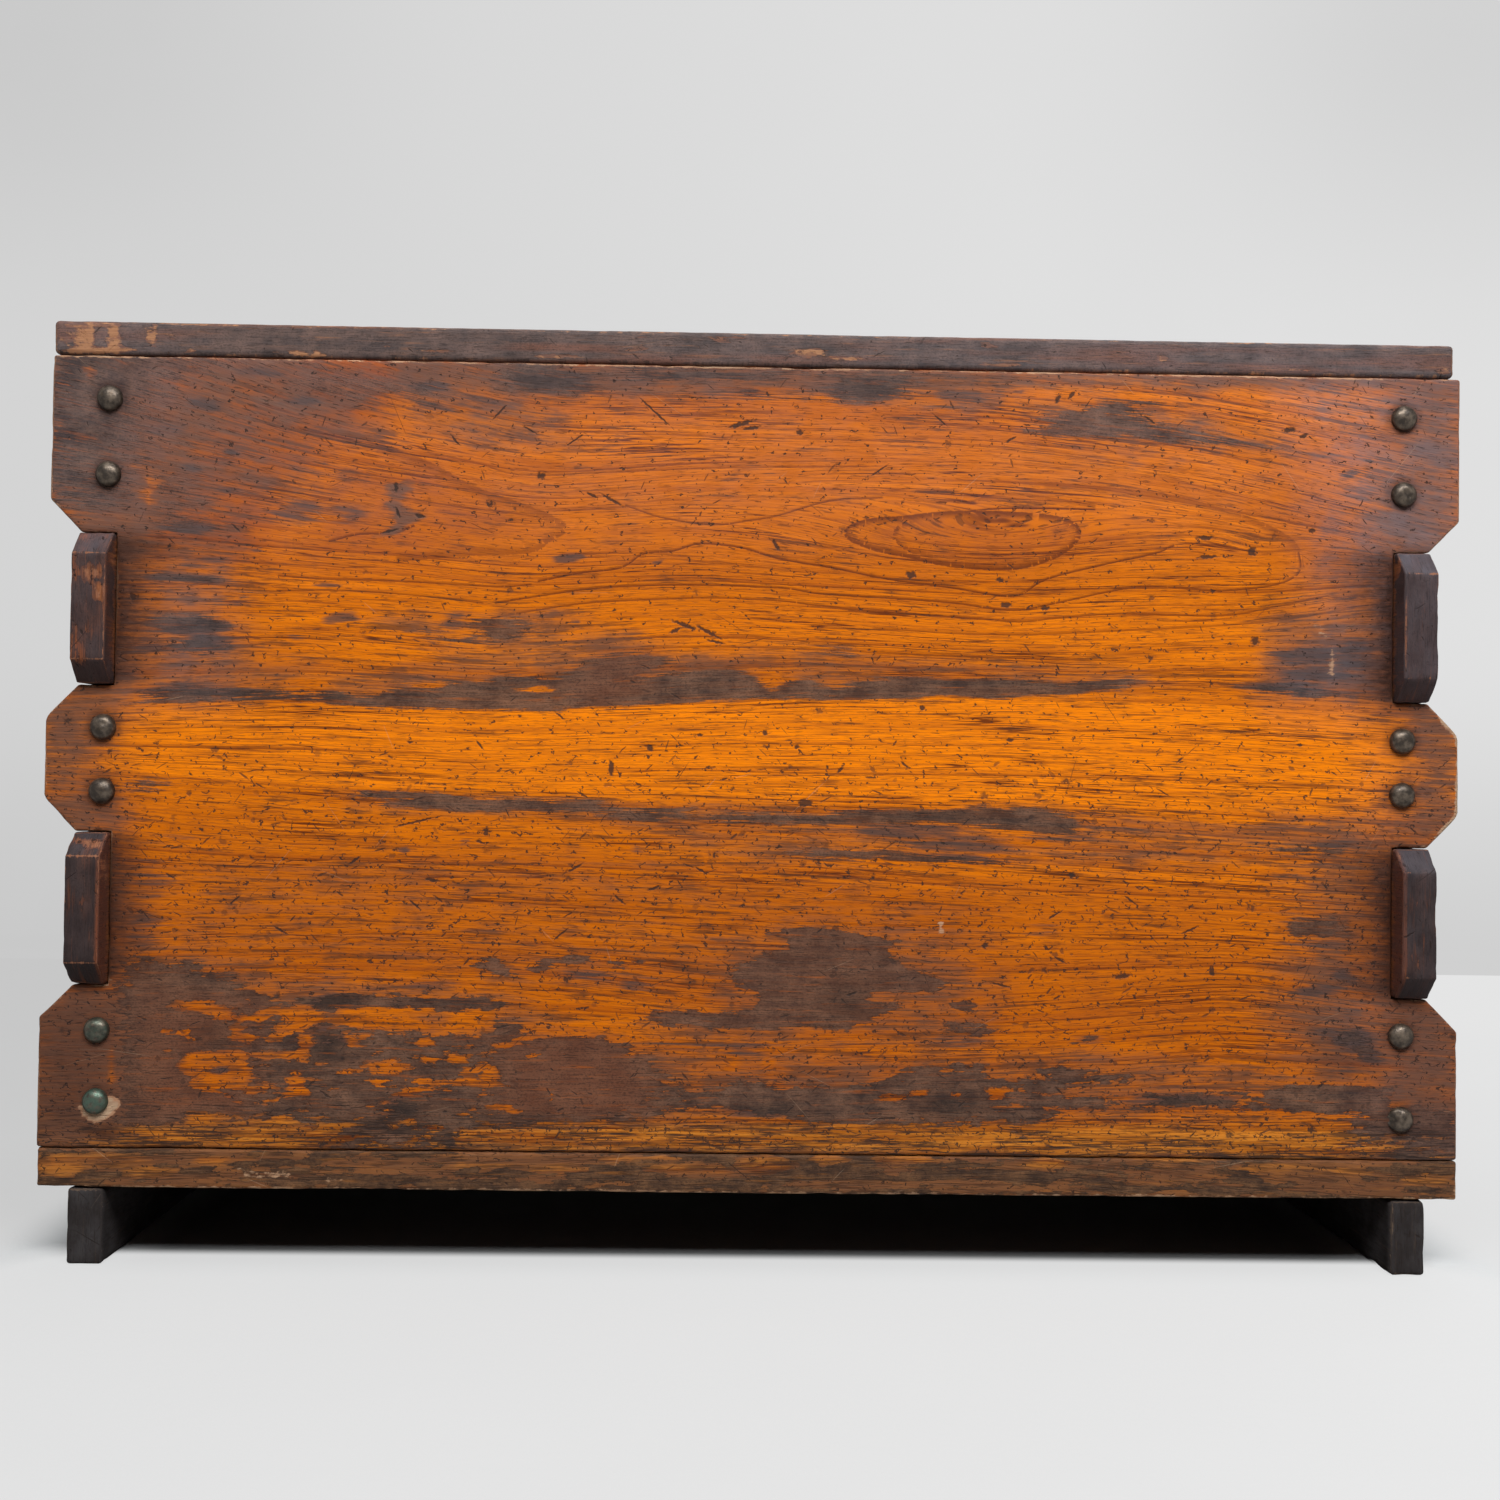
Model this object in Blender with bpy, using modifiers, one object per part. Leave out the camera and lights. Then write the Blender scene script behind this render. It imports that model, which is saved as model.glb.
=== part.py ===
"""A lidded wooden storage box, built as it is joined: every board, runner and nail is its own solid.

The end boards carry through tenons that pass open, flared slots in the front and back boards and stand
proud of them. Dome-headed nails hold the boards to the end boards, three bottom planks close the box from
below, two runners lift it off the floor, and a loose lid of two planks lies on top, kept in place by two
battens. Metres, +Z up, +X to the right and -Y to the front. The origin is on the floor, under the middle.
"""

import math
from collections import defaultdict

import bmesh
import bpy
from mathutils import Matrix, Vector

# Box
BOARD_LENGTH = 0.909
BOX_DEPTH = 0.455
WALL_HEIGHT = 0.506
WALL_THICKNESS = 0.022

# End boards and their tenons, with heights measured from the foot of the wall
END_THICKNESS = 0.022
END_OVERHANG = 0.0205
TENON_HEIGHT = 0.0965
TENON_PROUD = 0.018
TENON_CHAMFER = 0.0145
LOWER_TENON_CENTRE = 0.1522
UPPER_TENON_CENTRE = 0.3432
SLOT_FLARE = 0.021

# Bottom and runners
BOTTOM_THICKNESS = 0.025
BOTTOM_PLANK_COUNT = 3
RUNNER_WIDTH = 0.023
RUNNER_HEIGHT = 0.0485

# Lid
LID_THICKNESS = 0.022
LID_PLANK_COUNT = 2
LID_LEFT_INSET = 0.0003
LID_RIGHT_INSET = 0.0042
BATTEN_WIDTH = 0.030
BATTEN_HEIGHT = 0.022
BATTEN_CLEARANCE = 0.0025

# Dome-headed nails: the land of wall below, between and above the slots takes a pair each, set by eye at
# these shares of the way up the land
DOME_RADIUS = 0.0084
DOME_HEIGHT = 0.0066
DOME_SHANK_RADIUS = 0.0022
DOME_NAIL_BITE = 0.033
NAIL_FROM_INSIDE = 0.0055
LEFT_NAIL_PLACES = ((0.284, 0.720), (0.276, 0.709), (0.329, 0.756))
RIGHT_NAIL_PLACES = ((0.253, 0.770), (0.363, 0.735), (0.333, 0.766))

# Flat-headed nails of the lid, the bottom and the runners
FLAT_HEAD_RADIUS = 0.0045
FLAT_HEAD_HEIGHT = 0.0018
FLAT_SHANK_RADIUS = 0.0018
NAIL_TIP_RADIUS = 0.0007
LID_NAIL_COVER = 0.007
LID_NAIL_SPREAD = 0.110
BOTTOM_NAIL_BITE = 0.036
BOTTOM_NAIL_SPACING = 0.280
BOTTOM_NAIL_COUNT = 3
RUNNER_NAIL_BITE = 0.031
RUNNER_NAIL_RECESS = 0.012

# Fits and edges
JOINT_GAP = 0.0003
EDGE_SOFTENING = 0.0015
SHARP_EDGE = math.radians(30)
CUTTER_REACH = 0.006
DOME_STEPS = 12
DOME_RINGS = 3
FLAT_STEPS = 8

# Levels and faces that the sizes above give
BOTTOM_BASE = RUNNER_HEIGHT + JOINT_GAP
WALL_BASE = BOTTOM_BASE + BOTTOM_THICKNESS + JOINT_GAP
LID_BASE = WALL_BASE + WALL_HEIGHT + JOINT_GAP
FACE = BOX_DEPTH / 2
INNER_FACE = FACE - WALL_THICKNESS
BOARD_END = BOARD_LENGTH / 2
END_OUTSIDE = BOARD_END - END_OVERHANG
END_INSIDE = END_OUTSIDE - END_THICKNESS
END_MIDDLE = (END_OUTSIDE + END_INSIDE) / 2
TENON_CENTRES = (LOWER_TENON_CENTRE, UPPER_TENON_CENTRE)
FLUSH_SEAT = FLAT_HEAD_HEIGHT + JOINT_GAP

# Lengths of the nails below their heads' seats
DOME_NAIL_LENGTH = JOINT_GAP + WALL_THICKNESS + DOME_NAIL_BITE
LID_NAIL_LENGTH = LID_THICKNESS - FLUSH_SEAT + JOINT_GAP + BATTEN_HEIGHT - LID_NAIL_COVER
BOTTOM_NAIL_LENGTH = BOTTOM_THICKNESS - FLUSH_SEAT + JOINT_GAP + BOTTOM_NAIL_BITE
RUNNER_NAIL_LENGTH = WALL_BASE - RUNNER_NAIL_RECESS + RUNNER_NAIL_BITE

# How a board or nail is turned from the way it is drawn, flat in XY with its head or face up
UPRIGHT = (math.pi / 2, 0, 0)
UPRIGHT_AWAY = (-math.pi / 2, 0, 0)
ENDWISE = (math.pi / 2, 0, math.pi / 2)
HEAD_UP = (0, 0, 0)
HEAD_DOWN = (math.pi, 0, 0)


def clear_scene():
    for obj in list(bpy.data.objects):
        bpy.data.objects.remove(obj)


def new_collection(name):
    made = bpy.data.collections.new(name)
    bpy.context.scene.collection.children.link(made)
    return made


def new_material(name, colour, roughness, metallic=0.0):
    material = bpy.data.materials.new(name)
    material.use_nodes = True
    shader = material.node_tree.nodes["Principled BSDF"]
    shader.inputs["Base Color"].default_value = (*colour, 1.0)
    shader.inputs["Roughness"].default_value = roughness
    shader.inputs["Metallic"].default_value = metallic
    material.diffuse_color = (*colour, 1.0)
    return material


def new_empty(name, location):
    empty = bpy.data.objects.new(name, None)
    empty.location = location
    bpy.context.scene.collection.objects.link(empty)
    return empty


def evaluated_mesh(obj):
    """The object's mesh with its modifiers applied. The object itself is removed."""
    bpy.context.view_layer.update()
    graph = bpy.context.evaluated_depsgraph_get()
    mesh = bpy.data.meshes.new_from_object(obj.evaluated_get(graph))
    bpy.data.objects.remove(obj)
    return mesh


def plate_mesh(outline, thickness):
    """A flat outline in XY, thickened equally to both sides, with its convex edges marked for softening."""
    curve = bpy.data.curves.new("outline", "CURVE")
    curve.dimensions = "2D"
    curve.fill_mode = "BOTH"
    curve.extrude = thickness / 2
    spline = curve.splines.new("POLY")
    spline.points.add(len(outline) - 1)
    for point, (x, y) in zip(spline.points, outline):
        point.co = (x, y, 0, 1)
    spline.use_cyclic_u = True
    drawn = bpy.data.objects.new("outline", curve)
    bpy.context.scene.collection.objects.link(drawn)
    mesh = evaluated_mesh(drawn)

    shape = bmesh.new()
    shape.from_mesh(mesh)
    bmesh.ops.remove_doubles(shape, verts=shape.verts, dist=1e-6)
    for level in (-thickness / 2, thickness / 2):
        cap = [face for face in shape.faces if abs(face.calc_center_median().z - level) < 1e-6]
        bmesh.ops.dissolve_faces(shape, faces=cap)
    bmesh.ops.recalc_face_normals(shape, faces=shape.faces)
    mark_convex_edges(shape)
    shape.to_mesh(mesh)
    shape.free()
    return mesh


def block_mesh(size):
    """A plain board of that size about its middle, with its edges marked for softening."""
    shape = bmesh.new()
    bmesh.ops.create_cube(shape, size=1.0, matrix=Matrix.Diagonal((*size, 1.0)))
    mark_convex_edges(shape)
    mesh = bpy.data.meshes.new("block")
    shape.to_mesh(mesh)
    shape.free()
    return mesh


def mark_convex_edges(shape):
    weight = shape.edges.layers.float.new("bevel_weight_edge")
    for edge in shape.edges:
        if edge.calc_face_angle_signed(0.0) > SHARP_EDGE:
            edge[weight] = 1.0


def turned_mesh(profile, steps):
    """A profile of (radius, height) points, from the top down, turned about Z."""
    line = bpy.data.meshes.new("profile")
    points = [(radius, 0, height) for radius, height in profile]
    line.from_pydata(points, [(i, i + 1) for i in range(len(points) - 1)], [])
    drawn = bpy.data.objects.new("profile", line)
    bpy.context.scene.collection.objects.link(drawn)
    screw = drawn.modifiers.new("turn", "SCREW")
    screw.axis = "Z"
    screw.steps = steps
    screw.render_steps = steps
    screw.use_merge_vertices = True
    screw.merge_threshold = 0.00001
    mesh = evaluated_mesh(drawn)
    mesh.shade_smooth()
    mesh.set_sharp_from_angle(angle=SHARP_EDGE)
    return mesh


def shank_profile(radius, length, grown=0.0):
    """The outer side of a tapering shank below the head's seat, grown by a clearance."""
    return [
        (radius + grown, -grown),
        (NAIL_TIP_RADIUS + grown, -length - grown),
        (0.0, -length - grown),
    ]


def dome_nail():
    """The mesh of a dome-headed nail and of the hole that takes it."""
    dome = []
    for ring in range(DOME_RINGS + 1):
        angle = math.pi / 2 * (1 - ring / DOME_RINGS)
        dome.append((DOME_RADIUS * math.cos(angle), DOME_HEIGHT * math.sin(angle)))
    dome[0] = (0.0, DOME_HEIGHT)
    solid = turned_mesh(dome + shank_profile(DOME_SHANK_RADIUS, DOME_NAIL_LENGTH), DOME_STEPS)
    bore = shank_profile(DOME_SHANK_RADIUS, DOME_NAIL_LENGTH, JOINT_GAP)
    mouth = [(0.0, CUTTER_REACH), (DOME_SHANK_RADIUS + JOINT_GAP, CUTTER_REACH)]
    return solid, turned_mesh(mouth + bore, DOME_STEPS)


def flat_nail(length, depth):
    """The mesh of a flat-headed nail whose seat lies that deep, and of its stepped hole."""
    head = [(0.0, FLAT_HEAD_HEIGHT), (FLAT_HEAD_RADIUS, FLAT_HEAD_HEIGHT), (FLAT_HEAD_RADIUS, 0.0)]
    solid = turned_mesh(head + shank_profile(FLAT_SHANK_RADIUS, length), FLAT_STEPS)
    recess = FLAT_HEAD_RADIUS + JOINT_GAP
    top = depth + CUTTER_REACH
    mouth = [(0.0, top), (recess, top), (recess, -JOINT_GAP)]
    bore = shank_profile(FLAT_SHANK_RADIUS, length, JOINT_GAP)
    return solid, turned_mesh(mouth + bore, FLAT_STEPS)


class Assembly:
    """The parts of the box, the holes that its nails need and the frames that carry the parts."""

    def __init__(self):
        self.parts = new_collection("wooden_storage_box")
        self.cutters = new_collection("cutters")
        self.holes = defaultdict(list)
        self.frames = {
            "box": new_empty("box_frame", (0, 0, 0)),
            "lid": new_empty("lid_frame", (0, 0, LID_BASE)),
        }

    def place(self, name, mesh, material, location, turn=HEAD_UP, frame="box"):
        """Adds a part at a world location, riding on one of the frames."""
        obj = bpy.data.objects.new(name, mesh)
        self.parts.objects.link(obj)
        if not mesh.materials:
            mesh.materials.append(material)
        obj.parent = self.frames[frame]
        obj.location = Vector(location) - self.frames[frame].location
        obj.rotation_euler = turn
        return obj

    def board(self, name, mesh, material, location, turn=HEAD_UP, frame="box"):
        """Adds a board with softened edges."""
        mesh.name = name
        obj = self.place(name, mesh, material, location, turn, frame)
        bevel = obj.modifiers.new("softened edges", "BEVEL")
        bevel.limit_method = "WEIGHT"
        bevel.width = EDGE_SOFTENING
        bevel.segments = 1
        return obj

    def nail(self, name, kind, material, seat, turn, through, frame="box"):
        """Adds a nail with its head's seat at a point, and notes its hole in the boards that it holds."""
        solid, hole = kind
        self.place(name, solid, material, seat, turn, frame)
        rotation = Matrix.Rotation(turn[0], 4, "X")
        for board in through:
            self.holes[board].append((hole, Matrix.Translation(seat) @ rotation))

    def drill(self):
        """Cuts every board's nail holes with one cutter."""
        for board, holes in self.holes.items():
            shape = bmesh.new()
            for mesh, matrix in holes:
                before = len(shape.verts)
                shape.from_mesh(mesh)
                shape.verts.ensure_lookup_table()
                bmesh.ops.transform(shape, matrix=matrix, verts=shape.verts[before:])
            joined = bpy.data.meshes.new(board + "_holes")
            shape.to_mesh(joined)
            shape.free()
            cutter = bpy.data.objects.new(board + "_holes", joined)
            cutter.hide_render = True
            cutter.display_type = "WIRE"
            self.cutters.objects.link(cutter)
            cut = bpy.data.objects[board].modifiers.new("nail holes", "BOOLEAN")
            cut.object = cutter
            cut.solver = "EXACT"


def slot_span(centre):
    """Foot and head of the slot that takes a tenon, above the foot of the wall."""
    reach = TENON_HEIGHT / 2 + JOINT_GAP
    return centre - reach, centre + reach


def lands():
    """The stretches of wall below, between and above the slots, as (foot, head)."""
    edges = [0.0]
    for centre in TENON_CENTRES:
        edges += slot_span(centre)
    edges.append(WALL_HEIGHT)
    return list(zip(edges[::2], edges[1::2]))


def wall_outline():
    """A front or back board seen square on: flared slots for the tenons are cut into both ends."""
    slot_depth = END_INSIDE - JOINT_GAP
    right = [(BOARD_END, 0.0)]
    for centre in TENON_CENTRES:
        low, high = slot_span(centre)
        right += [(BOARD_END, low - SLOT_FLARE), (END_OUTSIDE, low), (slot_depth, low)]
        right += [(slot_depth, high), (END_OUTSIDE, high), (BOARD_END, high + SLOT_FLARE)]
    right.append((BOARD_END, WALL_HEIGHT))
    left = [(-x, z) for x, z in reversed(right)]
    return right + left


def end_outline():
    """An end board seen from the side, with the chamfered tenons that pass the front and back boards."""
    shoulder = INNER_FACE - JOINT_GAP
    tip = FACE + TENON_PROUD
    back = [(shoulder, 0.0)]
    for centre in TENON_CENTRES:
        low = centre - TENON_HEIGHT / 2
        high = centre + TENON_HEIGHT / 2
        back += [(shoulder, low), (tip - TENON_CHAMFER, low), (tip, low + TENON_CHAMFER)]
        back += [(tip, high - TENON_CHAMFER), (tip - TENON_CHAMFER, high), (shoulder, high)]
    back.append((shoulder, WALL_HEIGHT))
    front = [(-y, z) for y, z in reversed(back)]
    return back + front


def plank_rows(count):
    """Name, middle and width of each plank where so many of them fill the depth of the box."""
    width = (BOX_DEPTH - (count - 1) * JOINT_GAP) / count
    rows = []
    for i in range(count):
        if i == 0:
            name = "front"
        elif i == count - 1:
            name = "back"
        else:
            name = "middle" if count == 3 else f"middle_{i}"
        rows.append((name, -FACE + width / 2 + i * (width + JOINT_GAP), width))
    return rows


def add_walls(box, woods):
    for side, name in ((-1, "front"), (1, "back")):
        mesh = plate_mesh(wall_outline(), WALL_THICKNESS)
        middle = side * (FACE - WALL_THICKNESS / 2)
        box.board(f"{name}_board", mesh, woods["wall"], (0, middle, WALL_BASE), UPRIGHT)
    for side, name in ((-1, "left"), (1, "right")):
        mesh = plate_mesh(end_outline(), END_THICKNESS)
        box.board(f"{name}_end_board", mesh, woods["end"], (side * END_MIDDLE, 0, WALL_BASE), ENDWISE)


def add_bottom(box, woods):
    centre = BOTTOM_BASE + BOTTOM_THICKNESS / 2
    for name, middle, width in plank_rows(BOTTOM_PLANK_COUNT):
        mesh = block_mesh((BOARD_LENGTH, width, BOTTOM_THICKNESS))
        box.board(f"bottom_{name}_plank", mesh, woods["bottom"], (0, middle, centre))
    for side, name in ((-1, "left"), (1, "right")):
        mesh = block_mesh((RUNNER_WIDTH, BOX_DEPTH, RUNNER_HEIGHT))
        box.board(f"{name}_runner", mesh, woods["runner"], (side * END_MIDDLE, 0, RUNNER_HEIGHT / 2))


def batten_middle():
    """How far a batten's middle lies from the middle of the box."""
    return END_INSIDE - BATTEN_CLEARANCE - BATTEN_WIDTH / 2


def add_lid(box, woods):
    length = BOARD_LENGTH - LID_LEFT_INSET - LID_RIGHT_INSET
    across = (LID_LEFT_INSET - LID_RIGHT_INSET) / 2
    centre = LID_BASE + LID_THICKNESS / 2
    for name, middle, width in plank_rows(LID_PLANK_COUNT):
        mesh = block_mesh((length, width, LID_THICKNESS))
        box.board(f"lid_{name}_plank", mesh, woods["lid"], (across, middle, centre), frame="lid")
    batten_length = 2 * (INNER_FACE - BATTEN_CLEARANCE)
    hang = LID_BASE - JOINT_GAP - BATTEN_HEIGHT / 2
    for side, name in ((-1, "left"), (1, "right")):
        mesh = block_mesh((BATTEN_WIDTH, batten_length, BATTEN_HEIGHT))
        place = (side * batten_middle(), 0, hang)
        box.board(f"{name}_lid_batten", mesh, woods["batten"], place, frame="lid")


def add_wall_nails(box, iron):
    """Pairs of dome-headed nails through the front and back boards into the edges of the end boards."""
    kind = dome_nail()
    across = END_INSIDE + NAIL_FROM_INSIDE
    sides = ((-1, "left", LEFT_NAIL_PLACES), (1, "right", RIGHT_NAIL_PLACES))
    for facing, face_name, turn in ((-1, "front", UPRIGHT), (1, "back", UPRIGHT_AWAY)):
        for side, side_name, places in sides:
            heights = []
            for (low, high), shares in zip(lands(), places):
                heights += [low + share * (high - low) for share in shares]
            for number, height in enumerate(heights, start=1):
                seat = (side * across, facing * (FACE + JOINT_GAP), WALL_BASE + height)
                through = (f"{face_name}_board", f"{side_name}_end_board")
                name = f"{face_name}_{side_name}_nail_{number}"
                box.nail(name, kind, iron, seat, turn, through)


def add_lid_nails(box, iron):
    """Flush nails through the lid planks into the battens."""
    kind = flat_nail(LID_NAIL_LENGTH, FLUSH_SEAT)
    seat_level = LID_BASE + LID_THICKNESS - FLUSH_SEAT
    for side, side_name in ((-1, "left"), (1, "right")):
        number = 1
        for plank, middle, width in plank_rows(LID_PLANK_COUNT):
            for step in (-LID_NAIL_SPREAD / 2, LID_NAIL_SPREAD / 2):
                seat = (side * batten_middle(), middle + step, seat_level)
                through = (f"lid_{plank}_plank", f"{side_name}_lid_batten")
                name = f"{side_name}_batten_nail_{number}"
                box.nail(name, kind, iron, seat, HEAD_UP, through, frame="lid")
                number += 1


def add_bottom_nails(box, iron):
    """Nails up through the bottom planks into the front and back boards, and up through the runners."""
    kind = flat_nail(BOTTOM_NAIL_LENGTH, FLUSH_SEAT)
    for facing, name in ((-1, "front"), (1, "back")):
        for i in range(BOTTOM_NAIL_COUNT):
            across = (i - (BOTTOM_NAIL_COUNT - 1) / 2) * BOTTOM_NAIL_SPACING
            seat = (across, facing * (FACE - WALL_THICKNESS / 2), BOTTOM_BASE + FLUSH_SEAT)
            through = (f"bottom_{name}_plank", f"{name}_board")
            box.nail(f"bottom_{name}_nail_{i + 1}", kind, iron, seat, HEAD_DOWN, through)

    kind = flat_nail(RUNNER_NAIL_LENGTH, RUNNER_NAIL_RECESS)
    for side, side_name in ((-1, "left"), (1, "right")):
        for name, middle, width in plank_rows(BOTTOM_PLANK_COUNT):
            seat = (side * END_MIDDLE, middle, RUNNER_NAIL_RECESS)
            through = (f"{side_name}_runner", f"bottom_{name}_plank", f"{side_name}_end_board")
            box.nail(f"{side_name}_runner_{name}_nail", kind, iron, seat, HEAD_DOWN, through)


def main():
    clear_scene()
    woods = {
        "wall": new_material("amber_lacquered_wood", (0.36, 0.125, 0.022), 0.45),
        "end": new_material("brown_lacquered_wood", (0.16, 0.058, 0.022), 0.5),
        "bottom": new_material("worn_bottom_wood", (0.17, 0.082, 0.032), 0.6),
        "runner": new_material("dark_runner_wood", (0.055, 0.042, 0.035), 0.7),
        "lid": new_material("dark_lid_wood", (0.07, 0.038, 0.026), 0.5),
        "batten": new_material("bare_inner_wood", (0.27, 0.15, 0.07), 0.7),
    }
    iron = new_material("aged_iron", (0.055, 0.052, 0.045), 0.5, metallic=0.8)
    box = Assembly()
    add_walls(box, woods)
    add_bottom(box, woods)
    add_lid(box, woods)
    add_wall_nails(box, iron)
    add_lid_nails(box, iron)
    add_bottom_nails(box, iron)
    box.drill()


main()
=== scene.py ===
import itertools
import math
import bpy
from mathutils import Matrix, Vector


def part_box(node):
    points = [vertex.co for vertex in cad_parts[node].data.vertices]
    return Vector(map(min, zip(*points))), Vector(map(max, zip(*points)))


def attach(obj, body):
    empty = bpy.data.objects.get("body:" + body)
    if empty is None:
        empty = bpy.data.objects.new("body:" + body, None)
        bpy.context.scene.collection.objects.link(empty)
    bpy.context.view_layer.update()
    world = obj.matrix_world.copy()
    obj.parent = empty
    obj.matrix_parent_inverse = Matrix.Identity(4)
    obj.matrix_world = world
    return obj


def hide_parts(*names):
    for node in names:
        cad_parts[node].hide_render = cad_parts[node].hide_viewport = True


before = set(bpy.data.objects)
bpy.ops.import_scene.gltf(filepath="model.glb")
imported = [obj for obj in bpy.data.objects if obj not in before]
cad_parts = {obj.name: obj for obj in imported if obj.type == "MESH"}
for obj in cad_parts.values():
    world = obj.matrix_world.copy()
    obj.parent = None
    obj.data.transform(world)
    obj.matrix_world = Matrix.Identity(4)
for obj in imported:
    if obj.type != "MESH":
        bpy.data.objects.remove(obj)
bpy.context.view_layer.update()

import types

import bmesh
import bpy
import numpy as np
from mathutils import Matrix, Vector

# The camera.

IMAGE_SIZE = 1500.0             # the frame, in pixels
IMAGE_MIDDLE = IMAGE_SIZE / 2
FOCAL_PIXELS = 1813.7
SENSOR_MM = 36.0
CAMERA_PLACE = (-0.0259, -1.3922, 0.3075)
CAMERA_YAW = math.radians(1.06)
CAMERA_PITCH = math.radians(1.231)
CAMERA_ROLL = math.radians(-0.774)


def camera_axes():
    """The camera's right, down and forward directions."""
    forward = Vector((math.sin(CAMERA_YAW) * math.cos(CAMERA_PITCH),
                      math.cos(CAMERA_YAW) * math.cos(CAMERA_PITCH),
                      math.sin(CAMERA_PITCH)))
    level = Vector((math.cos(CAMERA_YAW), -math.sin(CAMERA_YAW), 0.0))
    below = forward.cross(level)
    right = math.cos(CAMERA_ROLL) * level + math.sin(CAMERA_ROLL) * below
    down = -math.sin(CAMERA_ROLL) * level + math.cos(CAMERA_ROLL) * below
    return right, down, forward


RIGHT, DOWN, FORWARD = camera_axes()


def add_camera():
    data = bpy.data.cameras.new("view_camera")
    data.sensor_width = SENSOR_MM
    data.lens = SENSOR_MM * FOCAL_PIXELS / IMAGE_SIZE
    camera = bpy.data.objects.new("view_camera", data)
    camera.matrix_world = Matrix.Translation(CAMERA_PLACE) @ Matrix(
        (RIGHT, -DOWN, -FORWARD)).transposed().to_4x4()
    bpy.context.scene.collection.objects.link(camera)
    bpy.context.scene.camera = camera


def to_frame(points):
    """Places in the camera's frame, in pixels, of points in space."""
    ray = points - np.array(CAMERA_PLACE)
    depth = ray @ np.array(FORWARD)
    return [IMAGE_MIDDLE + FOCAL_PIXELS * (ray @ np.array(axis)) / depth for axis in (RIGHT, DOWN)]


def on_front(x, y):
    """The point of the front board's face at a place in the frame."""
    aside, below = ((place - IMAGE_MIDDLE) / FOCAL_PIXELS for place in (x, y))
    ray = FORWARD + RIGHT * aside + DOWN * below
    return Vector(CAMERA_PLACE) + ray * ((FRONT_FACE - CAMERA_PLACE[1]) / ray.y)


# Sizes of the object.

FRONT_LOW, FRONT_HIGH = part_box("front_board")
FRONT_FACE = FRONT_LOW.y
BACK_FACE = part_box("back_board")[1].y
INNER_FACE = FRONT_HIGH.y
HALF_LENGTH = FRONT_HIGH.x
WALL_BASE = FRONT_LOW.z
WALL_TOP = FRONT_HIGH.z
END_LOW, END_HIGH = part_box("right_end_board")
END_OUTSIDE = END_HIGH.x
END_INSIDE = END_LOW.x
TENON_TIP = END_HIGH.y
JOINT_GAP = 0.0003
TENON_HEIGHT = 0.0965
TENON_CHAMFER = 0.0145
TENON_CENTRES = (WALL_BASE + 0.1522, WALL_BASE + 0.3432)
SLOT_FLARE = 0.021
SLOT_HALF = TENON_HEIGHT / 2 + JOINT_GAP
SLOT_ROOT = END_INSIDE - JOINT_GAP
PIXEL = 0.000645                # one pixel of the frame on the front face, in metres

# What is on the front.
# Places and sizes are in pixels of the camera's frame.

# Lines of the grain, each the path of one growth ring over the front board.
GRAIN_LEVELS = {
    300: ((40, 150), (200, 200), (400, 262), (540, 290), (800, 300), (1000, 305), (1200, 320),
          (1460, 360)),
    437: ((40, 300), (200, 340), (300, 375), (400, 402), (540, 432), (640, 433), (800, 437),
          (1000, 447), (1200, 470), (1300, 490), (1400, 513), (1460, 528)),
    467: ((40, 360), (200, 405), (300, 435), (400, 455), (540, 478), (640, 472), (700, 468),
          (860, 465), (1000, 468), (1100, 475), (1200, 492), (1300, 515), (1400, 540), (1460, 555)),
    605: ((40, 585), (200, 588), (400, 596), (520, 606), (600, 602), (690, 598), (800, 605),
          (900, 612), (1000, 620), (1060, 616), (1150, 612), (1250, 612), (1350, 598), (1460, 590)),
    648: ((40, 640), (300, 640), (500, 655), (600, 650), (700, 645), (800, 648), (950, 655),
          (1100, 660), (1250, 655), (1380, 660), (1460, 660)),
    698: ((40, 712), (120, 710), (300, 703), (480, 710), (640, 705), (800, 698), (1000, 697),
          (1200, 700), (1390, 712), (1460, 716)),
    804: ((40, 770), (200, 780), (340, 790), (500, 797), (700, 800), (800, 804), (1000, 808),
          (1200, 820), (1390, 828), (1460, 832)),
    860: ((40, 825), (150, 838), (300, 848), (500, 853), (700, 858), (800, 860), (1000, 875),
          (1200, 885), (1380, 895), (1460, 900)),
    925: ((40, 905), (400, 905), (550, 912), (700, 920), (800, 925), (1000, 930), (1200, 935),
          (1380, 945), (1460, 950)),
    1005: ((40, 985), (300, 980), (500, 985), (600, 992), (700, 1003), (800, 1005), (1000, 1007),
           (1080, 1000), (1240, 990), (1320, 1002), (1380, 1010), (1460, 1015)),
    1050: ((40, 1045), (400, 1045), (800, 1050), (1000, 1048), (1100, 1045), (1200, 1036),
           (1300, 1042), (1460, 1055)),
    1110: ((40, 1110), (1460, 1112)),
    1200: ((40, 1200), (1460, 1205)),
}
GRAIN_ENDS = (40, 1460)         # where these paths start and end
# Eyes of the figure: place, half length, half height, push on the rings.
GRAIN_EYES = ((985, 542, 200, 34, -34), (1262, 548, 40, 14, -10))
BRIGHT_BAND = (698, 804)        # the rings between which the wood is pale amber
GRAIN_SMOOTHING = 61            # pixels

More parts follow.
